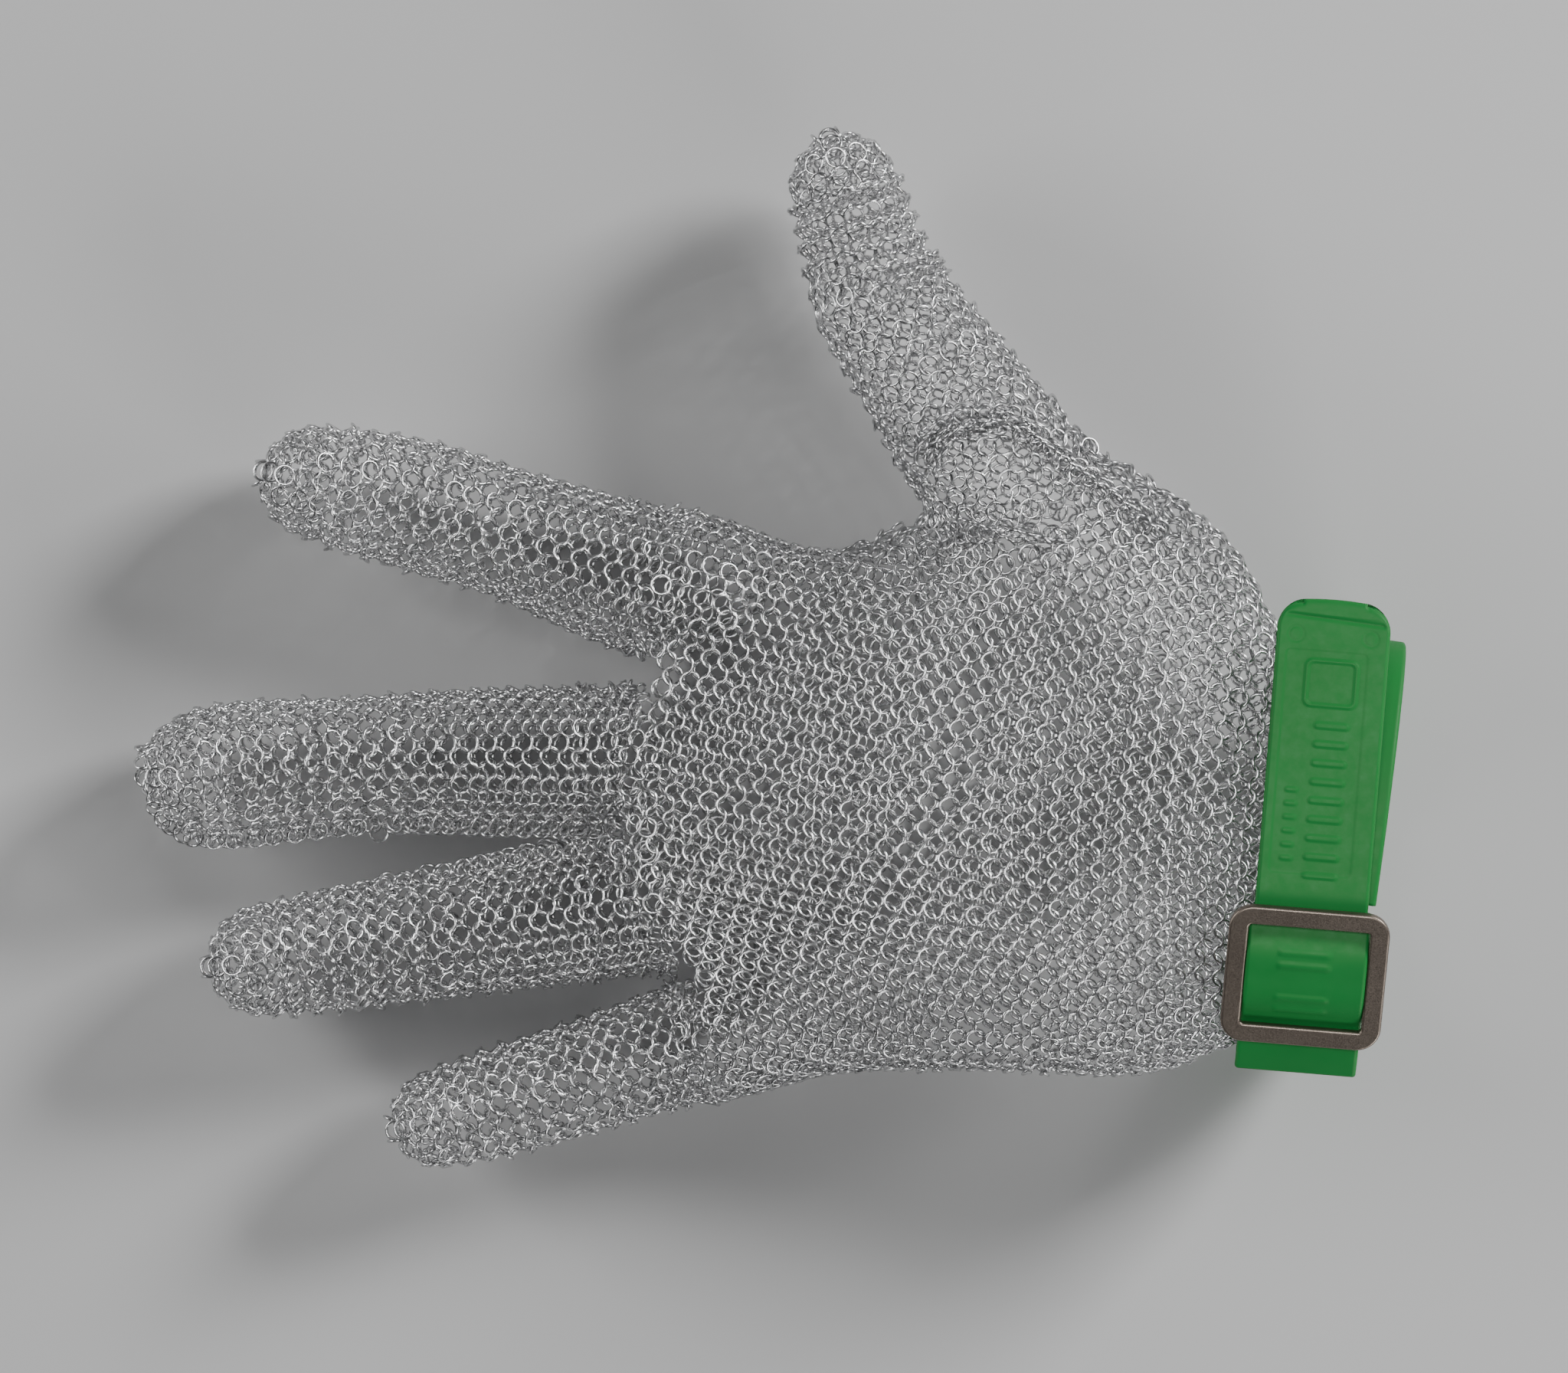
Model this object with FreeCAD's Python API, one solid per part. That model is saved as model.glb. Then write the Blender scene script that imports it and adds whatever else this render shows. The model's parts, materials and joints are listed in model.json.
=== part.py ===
"""Ring-mesh glove with a moulded wrist strap, lying on its back with the palm up.

Units are millimetres. The fingers point towards -X, the thumb towards +Y and the palm faces +Z. The
origin is at the middle of the footprint, on the surface that the glove lies on. The ring mesh is drawn
as thin shells in the filled-out shape that a hand gives it, hollow from the cuff to the finger ends.
"""
import FreeCAD, Part
import math
import os

V = FreeCAD.Vector

# ring mesh: the shells are as thick as one layer of linked rings
MESH_WALL = 1.4
FLOOR_GAP = 0.4

# knuckles: each is a barrel-shaped ring fixed in the inner end of a joint, and the outer end rolls on it
KNUCKLE_GAP = 0.4
KNUCKLE_RIM = 2.1
KNUCKLE_NECK = 0.8
HALF_JOINT_GAP = 0.25
BASE_FLEX = 60.0
MIDDLE_FLEX = 65.0
FLEX_MARGIN = 3.0
COLLAR_START = 13.5
COLLAR_END = 8.6
OVERRUN = 12.0

# fingers in plan: tip, heading from base to tip in degrees from +X, distances from the tip back to the
# middle and base hinges, and outer radius at the base hinge, middle hinge and tip
FINGERS = {
    "index": {"tip": (-92.4, 32.4), "heading": 164.2, "hinges": (40.0, 66.0), "radii": (12.6, 12.0, 11.6)},
    "middle": {"tip": (-112.5, -22.4), "heading": 182.6, "hinges": (50.0, 79.0), "radii": (12.6, 12.2, 12.0)},
    "ring": {"tip": (-101.9, -56.4), "heading": 188.3, "hinges": (42.0, 68.5), "radii": (12.4, 12.0, 11.6)},
    "little": {"tip": (-69.0, -85.8), "heading": 196.5, "hinges": (29.0, 52.0), "radii": (11.0, 10.8, 10.4)},
}
FINGER_ROOT = 22.0
JOINT_CUT_REACH = 45.0

# thumb: hinge centres and tip, and outer radius at each
THUMB_BASE = (36.0, 38.5, 19.5)
THUMB_MIDDLE = (18.4, 63.4, 18.0)
THUMB_TIP = (9.4, 92.7, 16.0)
THUMB_RADII = (14.4, 13.0, 11.8)
THUMB_ROOT = 30.0
THUMB_ROOT_RADIUS = 17.5
THUMB_TURN = -25.0

# palm sections across X: station, lowest and highest Y, lowest and highest Z, lean about Z in degrees
# and the power of the rounded outline, where 2 is an ellipse; the last one fits inside the strap
PALM_SECTIONS = [
    (-21.5, -84.0, 26.0, 0.0, 26.0, 0.0, 2.5),
    (-6.0, -79.4, 22.4, 0.0, 28.5, 0.0, 2.5),
    (12.0, -75.8, 19.6, 0.0, 31.0, 0.0, 2.5),
    (30.0, -75.2, 27.0, 0.0, 34.5, 0.0, 2.5),
    (47.0, -75.6, 36.0, 0.0, 38.0, 0.0, 2.5),
    (61.0, -76.0, 33.0, 0.0, 40.0, 0.0, 2.4),
    (74.0, -75.0, 21.5, 0.8, 40.5, -4.0, 2.2),
    (86.8, -70.6, 2.3, 2.5, 40.9, -7.8, 2.0),
]
SECTION_POINTS = 28
LITTLE_CROTCH = (-11.5, -57.6)
PALM_SPLIT_Z = 16.0
HEEL_START = 26.0
# side of a block that takes in the whole glove
EVERYTHING = 400.0

# wrist strap: a moulded band round the wrist, an ellipse in its own plane
STRAP_CENTRE = (97.3, -35.6, 21.7)
STRAP_LEAN = 7.8
STRAP_HALF_HEIGHT = 38.95
STRAP_HALF_DEPTH = 21.6
STRAP_WIDTH = 20.0
STRAP_THICK = 2.0
CUFF_GAP = 0.4
CUFF_START = -10.6
CUFF_END = 1.0

# steel wire through the last row of rings, and the moulded hooks that hold it
WIRE_RADIUS = 0.6
WIRE_STATION = 3.4
WIRE_INSET = 1.5
HOOK_COUNT = 14
HOOK_WIDTH = 4.0
HOOK_LENGTH = 3.6
HOOK_DEPTH = 2.6
# no hooks where the end loop and the buckle lie: above this Z and below this Y, from the wrist centre
HOOKS_CLEAR = (-6.0, 4.0)

# three-bar buckle, in its own plane: p up the strap, q across it and n outwards, zero at the plate's top
BUCKLE_LEAN = 4.7
BUCKLE_SEAT = -21.4
BUCKLE_SHIFT = -0.65
BUCKLE_LIFT = 3.0
BUCKLE_LENGTH = 25.6
BUCKLE_WIDTH = 28.4
BUCKLE_BAR = 3.4
BUCKLE_SIDE = 3.5
BUCKLE_PLATE = 1.8
BUCKLE_CORNER = 4.2
BUCKLE_EDGE = 0.45
WINDOW_CORNER = 0.6
CENTRE_BAR = 3.4
CENTRE_BAR_TOP = -2.6
CENTRE_BAR_THICK = 1.4
CENTRE_BAR_FOOT = 1.9
WELD_OVERLAP = 0.05
LOOP_THICK = 1.0
LOOP_WIDTH = 19.0
LOOP_ROUNDING = 0.9
TAIL_THICK = 1.8
TAIL_DROPS = [(0.4, 0.6), (4.3, 1.2), (7.7, 1.8)]
TAIL_END_DROP = 2.2
RUN_LOW = -1.95
RUN_HIGH = 0.4
RUN_SHOULDER = 5.0
RUN_SHOULDER_DROP = 0.35
STRAP_END_GAP = 0.5

# free end of the strap: width at the buckle and at the tip, reach beyond the wrist centre, tip rounding
TONGUE_WIDTH = (20.4, 19.6)
TONGUE_REACH = 44.6
TONGUE_LEVEL = 24.1
TONGUE_DIP = 0.1
TONGUE_HALF_DROOP = 0.8
TONGUE_DROOP = 2.0
TONGUE_CORNER = 4.5
TONGUE_CROWN = 0.9
TONGUE_RISE = 6.0
TONGUE_FLAT = 22.0
TONGUE_BEND = 12.0
TONGUE_OVERLAP = 2.0
STRIP_STEPS = 24


def unit(vector):
    return vector.multiply(1.0 / vector.Length)


def frame_at(point, along):
    """Placement whose X runs along a digit, Y lies level across it and Z is the flexing side."""
    x_axis = unit(V(along))
    y_axis = unit(V(0, 0, 1).cross(x_axis))
    z_axis = x_axis.cross(y_axis)
    rotation = FreeCAD.Rotation(x_axis, y_axis, z_axis, "ZXY")
    return FreeCAD.Placement(V(point), rotation)


def place(shape, placement):
    moved = shape.copy()
    moved.Placement = placement.multiply(moved.Placement)
    return moved


def prism(points, low_y, high_y):
    """Solid from an outline in X and Z, drawn from low_y to high_y."""
    wire = Part.makePolygon([V(x, low_y, z) for x, z in points + points[:1]])
    return Part.Face(wire).extrude(V(0, high_y - low_y, 0))


def frustum(start, end, start_radius, end_radius, before=0.0, after=0.0):
    """Solid round bar between two points with an even taper, run on past either end."""
    along = end.sub(start)
    taper = (end_radius - start_radius) / along.Length
    step = unit(V(along))
    first = start.sub(V(step).multiply(before))
    length = along.Length + before + after
    first_radius = start_radius - taper * before
    last_radius = end_radius + taper * after
    if abs(first_radius - last_radius) < 1e-6:
        return Part.makeCylinder(first_radius, length, first, along)
    return Part.makeCone(first_radius, last_radius, length, first, along)


# ---- joints between mesh sections -------------------------------------------------------------------

def inner_side_cut(flex):
    """What is cut from the section on the palm side of a hinge, in the hinge's frame."""
    reach = JOINT_CUT_REACH
    slope = math.tan(math.radians((flex + FLEX_MARGIN) / 2))
    gap = -HALF_JOINT_GAP
    return prism([(gap, -reach), (reach, -reach), (reach, reach), (gap - reach * slope, reach), (gap, 0)],
                 -reach, reach)


def outer_side_cut(flex):
    """What is cut from the section on the tip side of a hinge, in the hinge's frame."""
    return inner_side_cut(flex).mirror(V(0, 0, 0), V(1, 0, 0))


def knuckle(centre, back_along, ahead_along, bore_radius, parent_bore):
    """Barrel ring centred on a hinge, with a neck and a collar that fits the inner section's bore."""
    ball_radius = bore_radius - KNUCKLE_GAP
    hole_radius = ball_radius - KNUCKLE_RIM
    ball = Part.makeSphere(ball_radius, centre)
    neck = Part.makeCylinder(hole_radius + KNUCKLE_NECK, COLLAR_START, centre, back_along)
    collar_start = centre.add(V(back_along).multiply(COLLAR_END))
    slab = Part.makeCylinder(3 * bore_radius, COLLAR_START - COLLAR_END, collar_start, back_along)
    body = ball.fuse(neck).fuse(slab.common(parent_bore))
    back_hole = Part.makeCylinder(hole_radius, 2 * bore_radius, centre, back_along)
    ahead_hole = Part.makeCylinder(hole_radius, 2 * bore_radius, centre, ahead_along)
    middle_hole = Part.makeSphere(hole_radius, centre)
    return body.cut(back_hole).cut(ahead_hole).cut(middle_hole)


class Digit:
    """Shapes of one finger or the thumb, from its two hinge centres, tip and radii."""

    def __init__(self, base, middle, tip, radii, root_length, root_radius, turn=0.0):
        self.base = base
        self.middle = middle
        self.radii = radii
        self.root_radius = root_radius
        self.lower_along = unit(middle.sub(base))
        self.upper_along = unit(tip.sub(middle))
        self.base_frame = self.turned(frame_at(base, self.lower_along), turn)
        self.middle_frame = self.turned(frame_at(middle, self.upper_along), turn)
        self.root_start = base.sub(V(self.lower_along).multiply(root_length))
        self.cap_centre = tip.sub(V(self.upper_along).multiply(radii[2]))

    @staticmethod
    def turned(frame, turn):
        spin = FreeCAD.Placement(V(0, 0, 0), FreeCAD.Rotation(V(1, 0, 0), turn))
        return frame.multiply(spin)

    def root(self, inset):
        return frustum(self.root_start, self.base, self.root_radius - inset, self.radii[0] - inset,
                       0, OVERRUN)

    def lower(self, inset):
        return frustum(self.base, self.middle, self.radii[0] - inset, self.radii[1] - inset,
                       OVERRUN, OVERRUN)

    def upper(self, inset):
        bar = frustum(self.middle, self.cap_centre, self.radii[1] - inset, self.radii[2] - inset,
                      OVERRUN, 0)
        return bar.fuse(Part.makeSphere(self.radii[2] - inset, self.cap_centre))

    def root_solid(self):
        return self.root(0).cut(place(inner_side_cut(BASE_FLEX), self.base_frame))

    def lower_mesh(self):
        shell = self.lower(0).cut(self.lower(MESH_WALL))
        shell = shell.cut(place(outer_side_cut(BASE_FLEX), self.base_frame))
        return shell.cut(place(inner_side_cut(MIDDLE_FLEX), self.middle_frame))

    def upper_mesh(self):
        shell = self.upper(0).cut(self.upper(MESH_WALL))
        return shell.cut(place(outer_side_cut(MIDDLE_FLEX), self.middle_frame))

    def base_knuckle(self):
        back = V(self.lower_along).negative()
        return knuckle(self.base, back, self.lower_along, self.radii[0] - MESH_WALL, self.root(MESH_WALL))

    def middle_knuckle(self):
        back = V(self.lower_along).negative()
        return knuckle(self.middle, back, self.upper_along, self.radii[1] - MESH_WALL,
                       self.lower(MESH_WALL))


def make_digits():
    digits = {}
    for name, spec in FINGERS.items():
        heading = math.radians(spec["heading"])
        back = V(-math.cos(heading), -math.sin(heading), 0)
        height = max(spec["radii"]) + FLOOR_GAP
        tip = V(spec["tip"][0], spec["tip"][1], height)
        middle = tip.add(V(back).multiply(spec["hinges"][0]))
        base = tip.add(V(back).multiply(spec["hinges"][1]))
        digits[name] = Digit(base, middle, tip, spec["radii"], FINGER_ROOT, spec["radii"][0])
    digits["thumb"] = Digit(V(*THUMB_BASE), V(*THUMB_MIDDLE), V(*THUMB_TIP), THUMB_RADII, THUMB_ROOT,
                            THUMB_ROOT_RADIUS, THUMB_TURN)
    return digits


# ---- palm -------------------------------------------------------------------------------------------

def section_wire(station, low_y, high_y, low_z, high_z, lean, power):
    """Closed rounded outline across the hand, fuller than an ellipse."""
    half_y = (high_y - low_y) / 2
    half_z = (high_z - low_z) / 2
    points = []
    for k in range(SECTION_POINTS):
        angle = 2 * math.pi * k / SECTION_POINTS
        c = math.cos(angle)
        s = math.sin(angle)
        y = math.copysign(abs(c) ** (2 / power), c) * half_y
        z = math.copysign(abs(s) ** (2 / power), s) * half_z
        points.append(V(0, y, z))
    curve = Part.BSplineCurve()
    curve.interpolate(points, PeriodicFlag=True)
    wire = Part.Wire(curve.toShape())
    centre = V(station, (low_y + high_y) / 2, (low_z + high_z) / 2)
    wire.Placement = FreeCAD.Placement(centre, FreeCAD.Rotation(V(0, 0, 1), lean))
    return wire


def palm_block(inset):
    """Solid filled hand shape from the finger crotches to the cuff, shrunk by inset."""
    wires = []
    for index, (station, low_y, high_y, low_z, high_z, lean, power) in enumerate(PALM_SECTIONS):
        if index in (0, len(PALM_SECTIONS) - 1):
            station = station + inset
        wires.append(section_wire(station, low_y + inset, high_y - inset, low_z + inset, high_z - inset,
                                  lean, power))
    block = Part.makeLoft(wires, True, False)
    size = EVERYTHING
    corner_x = LITTLE_CROTCH[0] + inset
    corner_y = LITTLE_CROTCH[1] + inset
    corner = Part.makeBox(size, size, 2 * size, V(corner_x - size, corner_y - size, -size))
    below = Part.makeBox(size, size, size, V(-size / 2, -size / 2, inset - size))
    return block.cut(corner).cut(below)


def palm_pieces(digits):
    """Front and back panels of the palm and its heel, and the thumb root, from one hollow shape."""
    outer = palm_block(0)
    hollow = palm_block(MESH_WALL)
    bores = [digit.root(MESH_WALL) for digit in digits.values()]
    roots = [digits[name].root_solid() for name in FINGERS]
    thumb_block = digits["thumb"].root_solid()
    clear = hollow.multiFuse(bores)
    thumb_root = thumb_block.cut(clear)
    shell = outer.multiFuse(roots).cut(clear).cut(thumb_block)
    size = EVERYTHING
    above = Part.makeBox(size, size, size, V(-size / 2, -size / 2, PALM_SPLIT_Z))
    heel = Part.makeBox(size, size, size, V(HEEL_START, -size / 2, -size / 2))
    front = shell.common(above)
    back = shell.cut(above)
    return {"palm_front_mesh": largest(front.cut(heel)), "heel_front_mesh": largest(front.common(heel)),
            "palm_back_mesh": largest(back.cut(heel)), "heel_back_mesh": largest(back.common(heel)),
            "thumb_root_mesh": largest(thumb_root)}


def largest(shape):
    """The main solid of a cut, without any sliver that the cut leaves."""
    return max(shape.Solids, key=lambda solid: solid.Volume)


# ---- strap ------------------------------------------------------------------------------------------

def strap_place(shape, lean, pivot=(0.0, 0.0)):
    """Puts a shape drawn round the wrist centre into place, turned to its lean about the pivot."""
    turn = FreeCAD.Rotation(V(0, 0, 1), STRAP_LEAN - lean)
    about = FreeCAD.Placement(V(0, 0, 0), turn, V(pivot[0], pivot[1], 0))
    main = FreeCAD.Placement(V(*STRAP_CENTRE), FreeCAD.Rotation(V(0, 0, 1), -STRAP_LEAN))
    return place(shape, main.multiply(about))


def oval_bar(inset, start, end):
    """Elliptical bar along local X, inset from the outside of the strap."""
    ellipse = Part.Ellipse(V(0, 0, 0), STRAP_HALF_HEIGHT - inset, STRAP_HALF_DEPTH - inset)
    wire = Part.Wire(ellipse.toShape())
    turn = FreeCAD.Rotation(V(0, 1, 0), V(0, 0, 1), V(1, 0, 0), "ZXY")
    wire.Placement = FreeCAD.Placement(V(start, 0, 0), turn)
    return Part.Face(wire).extrude(V(end - start, 0, 0))


def oval_ring(inset, thick, start, end):
    return oval_bar(inset, start, end).cut(oval_bar(inset + thick, start - 1, end + 1))


class BucklePlane:
    """The buckle's plane: it rests on the oval of the wrist and follows its slope."""

    def __init__(self):
        ratio = STRAP_HALF_DEPTH / STRAP_HALF_HEIGHT
        seat_z = ratio * math.sqrt(STRAP_HALF_HEIGHT ** 2 - BUCKLE_SEAT ** 2)
        self.tilt = math.atan2(-ratio ** 2 * BUCKLE_SEAT, seat_z)
        self.up = V(0, math.cos(self.tilt), math.sin(self.tilt))
        self.out = V(0, -math.sin(self.tilt), math.cos(self.tilt))
        self.centre = V(BUCKLE_SHIFT, BUCKLE_SEAT, seat_z).add(V(self.out).multiply(BUCKLE_LIFT))
        self.pivot = (self.centre.x, self.centre.y)

    def point(self, p, n, q=0.0):
        return self.centre.add(V(self.up).multiply(p)).add(V(self.out).multiply(n)).add(V(q, 0, 0))

    def put(self, shape):
        """A shape drawn with X across the strap, Y up it and Z outwards, put on the buckle's plane."""
        turn = FreeCAD.Rotation(V(1, 0, 0), math.degrees(self.tilt))
        on_plane = place(shape, FreeCAD.Placement(self.centre, turn))
        return strap_place(on_plane, BUCKLE_LEAN, self.pivot)


def rounded_plate(width, length, corner, low, high):
    box = Part.makeBox(width, length, high - low, V(-width / 2, -length / 2, low))
    upright = [edge for edge in box.Edges if abs(edge.tangentAt(edge.FirstParameter).z) > 0.99]
    return box.makeFillet(corner, upright)


def buckle_frame(plane):
    plate = rounded_plate(BUCKLE_WIDTH, BUCKLE_LENGTH, BUCKLE_CORNER, -BUCKLE_PLATE, 0)
    window = rounded_plate(BUCKLE_WIDTH - 2 * BUCKLE_SIDE, BUCKLE_LENGTH - 2 * BUCKLE_BAR, WINDOW_CORNER,
                           -2 * BUCKLE_PLATE, BUCKLE_PLATE)
    ring = plate.cut(window)
    rims = [edge for edge in ring.Edges if abs(edge.BoundBox.ZMax - edge.BoundBox.ZMin) < 0.01]
    return plane.put(ring.makeFillet(BUCKLE_EDGE, rims))


def buckle_centre_bar(plane):
    inner = BUCKLE_WIDTH / 2 - BUCKLE_SIDE + WELD_OVERLAP
    foot = CENTRE_BAR_FOOT
    low = CENTRE_BAR_TOP - CENTRE_BAR_THICK
    half = CENTRE_BAR / 2
    bar = Part.makeBox(2 * (inner + foot), CENTRE_BAR, CENTRE_BAR_THICK, V(-inner - foot, -half, low))
    for side in (-1, 1):
        start = min(side * inner, side * (inner + foot))
        leg = Part.makeBox(foot, CENTRE_BAR, -BUCKLE_PLATE - low, V(start, -half, low))
        bar = bar.fuse(leg)
    return plane.put(bar.removeSplitter())


def strip(centre_points, thick, width):
    """Strap run from side-view points (p, n) of its middle, of even thickness, across the strap."""
    curve = Part.BSplineCurve()
    curve.interpolate([V(0, p, n) for p, n in centre_points])
    steps = STRIP_STEPS
    upper = []
    lower = []
    for k in range(steps + 1):
        u = curve.FirstParameter + (curve.LastParameter - curve.FirstParameter) * k / steps
        point = curve.value(u)
        tangent = V(*curve.tangent(u)[0])
        side = V(0, -tangent.z, tangent.y)
        upper.append(point.add(V(side).multiply(thick / 2)))
        lower.append(point.sub(V(side).multiply(thick / 2)))
    top = Part.BSplineCurve()
    top.interpolate(upper)
    bottom = Part.BSplineCurve()
    bottom.interpolate(lower)
    ends = [Part.makeLine(upper[-1], lower[-1]), Part.makeLine(lower[0], upper[0])]
    wire = Part.Wire([top.toShape(), ends[0], bottom.toShape().reversed(), ends[1]])
    face = Part.Face(wire)
    face.translate(V(-width / 2, 0, 0))
    return face.extrude(V(width, 0, 0))


def strap_end_loop(plane):
    """The fixed end of the strap: a flat loop round the centre bar and a tail back to the band."""
    half = CENTRE_BAR / 2
    top = CENTRE_BAR_TOP + LOOP_THICK
    low = CENTRE_BAR_TOP - CENTRE_BAR_THICK - LOOP_THICK
    reach = half + LOOP_THICK
    loop = Part.makeBox(LOOP_WIDTH, 2 * reach, top - low, V(-LOOP_WIDTH / 2, -reach, low))
    long_edges = [edge for edge in loop.Edges if abs(edge.BoundBox.XLength) > LOOP_WIDTH / 2]
    loop = loop.makeFillet(LOOP_ROUNDING, long_edges)
    tail_end = BUCKLE_LENGTH / 2 - STRAP_END_GAP
    middle = (top + low) / 2
    points = [(half + ahead, middle - drop) for ahead, drop in TAIL_DROPS]
    points.append((tail_end, middle - TAIL_END_DROP))
    tail = strip(points, TAIL_THICK, LOOP_WIDTH)
    hole = Part.makeBox(2 * LOOP_WIDTH, CENTRE_BAR, CENTRE_BAR_THICK,
                        V(-LOOP_WIDTH, -half, CENTRE_BAR_TOP - CENTRE_BAR_THICK))
    return plane.put(loop.fuse(tail).cut(hole).removeSplitter())


def strap_buckle_run(plane):
    """The strap where it weaves under the end bars and over the centre bar."""
    half = STRAP_THICK / 2
    end = BUCKLE_LENGTH / 2 - STRAP_END_GAP / 2
    low = RUN_LOW - half
    high = RUN_HIGH - half
    inside = BUCKLE_LENGTH / 2 - BUCKLE_BAR
    shoulder = high - RUN_SHOULDER_DROP
    points = [(-end, low), (-inside, low), (-RUN_SHOULDER, shoulder), (0, high),
              (RUN_SHOULDER, shoulder), (inside, low), (end, low)]
    return plane.put(strip(points, STRAP_THICK, TONGUE_WIDTH[0]))


def strap_band(plane):
    """The band from beside the buckle round the wrist to its far side, open under the buckle."""
    band = oval_ring(0, STRAP_THICK, -STRAP_WIDTH / 2, STRAP_WIDTH / 2)
    reach = BUCKLE_LENGTH / 2 + 2 * STRAP_END_GAP
    depth = 5 * STRAP_THICK
    corner = V(-STRAP_WIDTH, -reach, -depth)
    window = Part.makeBox(2 * STRAP_WIDTH, 2 * reach - STRAP_END_GAP, 2 * depth, corner)
    turn = FreeCAD.Rotation(V(1, 0, 0), math.degrees(plane.tilt))
    gap = place(window, FreeCAD.Placement(plane.centre, turn))
    return strap_place(band.cut(gap), STRAP_LEAN)


def strap_tongue(plane):
    """The free end, lying on the band and running on straight past the side of the wrist."""
    half = STRAP_THICK / 2
    start = plane.point(BUCKLE_LENGTH / 2 + STRAP_END_GAP, RUN_LOW - half)
    level = TONGUE_LEVEL - half
    points = [(start.y, start.z), (start.y + TONGUE_RISE, level - TONGUE_DIP),
              (start.y + TONGUE_FLAT, level),
              (TONGUE_REACH - TONGUE_BEND, level - TONGUE_HALF_DROOP),
              (TONGUE_REACH, level - TONGUE_DROOP)]
    run = strip(points, STRAP_THICK, 2 * STRAP_WIDTH).common(tongue_plan(start.y - TONGUE_OVERLAP))
    run.translate(V(BUCKLE_SHIFT, 0, 0))
    return strap_place(run, BUCKLE_LEAN, plane.pivot)


def tongue_plan(start_y):
    """Tall block with the free end's outline: a slight taper and a crowned tip with rounded corners."""
    near = TONGUE_WIDTH[0] / 2
    far = TONGUE_WIDTH[1] / 2
    shoulder = TONGUE_REACH - TONGUE_CROWN
    corners = [V(-far, shoulder, 0), V(-near, start_y, 0), V(near, start_y, 0), V(far, shoulder, 0)]
    tip = Part.Arc(corners[-1], V(0, TONGUE_REACH, 0), corners[0])
    wire = Part.Wire(Part.makePolygon(corners).Edges + [tip.toShape()])
    block = Part.Face(wire).extrude(V(0, 0, 2 * STRAP_HALF_HEIGHT))
    upright = [edge for edge in block.Edges
               if edge.BoundBox.ZLength > STRAP_HALF_HEIGHT and edge.BoundBox.YMin > shoulder - 1]
    return block.makeFillet(TONGUE_CORNER, upright)


def cuff_mesh():
    ring = oval_ring(STRAP_THICK + CUFF_GAP, MESH_WALL, CUFF_START, CUFF_END)
    return strap_place(ring, STRAP_LEAN)


def wire_path(station):
    ellipse = Part.Ellipse(V(0, 0, 0), STRAP_HALF_HEIGHT - STRAP_THICK - WIRE_INSET,
                           STRAP_HALF_DEPTH - STRAP_THICK - WIRE_INSET)
    wire = Part.Wire(ellipse.toShape())
    turn = FreeCAD.Rotation(V(0, 1, 0), V(0, 0, 1), V(1, 0, 0), "ZXY")
    wire.Placement = FreeCAD.Placement(V(station, 0, 0), turn)
    return wire


def edge_wire_at_centre():
    path = wire_path(WIRE_STATION)
    start = path.Edges[0].valueAt(path.Edges[0].FirstParameter)
    along = path.Edges[0].tangentAt(path.Edges[0].FirstParameter)
    circle = Part.Wire(Part.Circle(start, along, WIRE_RADIUS).toShape())
    return path.makePipeShell([circle], True, False)


def strap_hooks(edge_wire):
    """Moulded hooks inside the band, each wrapped round the edge wire."""
    ring = oval_ring(STRAP_THICK, HOOK_DEPTH, WIRE_STATION - HOOK_LENGTH / 2, WIRE_STATION + HOOK_LENGTH / 2)
    hooks = []
    for k in range(HOOK_COUNT):
        angle = 2 * math.pi * (k + 0.5) / HOOK_COUNT
        y = math.cos(angle) * STRAP_HALF_HEIGHT
        z = math.sin(angle) * STRAP_HALF_DEPTH
        if y < HOOKS_CLEAR[0] and z > HOOKS_CLEAR[1]:
            continue
        heading = math.degrees(math.atan2(z, y))
        block = Part.makeBox(2 * HOOK_LENGTH, STRAP_HALF_HEIGHT, HOOK_WIDTH,
                             V(WIRE_STATION - HOOK_LENGTH, 0, -HOOK_WIDTH / 2))
        block.rotate(V(0, 0, 0), V(1, 0, 0), heading)
        hooks.append(largest(ring.common(block).cut(edge_wire)))
    return Part.makeCompound(hooks)


# ---- all pieces -------------------------------------------------------------------------------------

def make_parts():
    digits = make_digits()
    parts = palm_pieces(digits)
    for name, digit in digits.items():
        parts[name + "_base_knuckle"] = digit.base_knuckle()
        parts[name + "_lower_mesh"] = digit.lower_mesh()
        parts[name + "_middle_knuckle"] = digit.middle_knuckle()
        parts[name + "_upper_mesh"] = digit.upper_mesh()
    plane = BucklePlane()
    edge_wire = edge_wire_at_centre()
    parts["cuff_mesh"] = cuff_mesh()
    parts["cuff_edge_wire"] = strap_place(edge_wire, STRAP_LEAN)
    parts["strap_hooks"] = strap_place(strap_hooks(edge_wire), STRAP_LEAN)
    parts["strap_band"] = strap_band(plane)
    parts["strap_end_loop"] = strap_end_loop(plane)
    parts["strap_buckle_run"] = strap_buckle_run(plane)
    parts["strap_free_end"] = strap_tongue(plane)
    parts["buckle_frame"] = buckle_frame(plane)
    parts["buckle_centre_bar"] = buckle_centre_bar(plane)
    return parts


def write_parts():
    os.makedirs("parts", exist_ok=True)
    for name, shape in make_parts().items():
        shape.exportStep("parts/" + name + ".step")
        box = shape.BoundBox
        print("%-24s solids %d  volume %9.1f  valid %s  x %.1f..%.1f  y %.1f..%.1f  z %.1f..%.1f" % (
            name, len(shape.Solids), shape.Volume, shape.isValid(),
            box.XMin, box.XMax, box.YMin, box.YMax, box.ZMin, box.ZMax))


write_parts()
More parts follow.
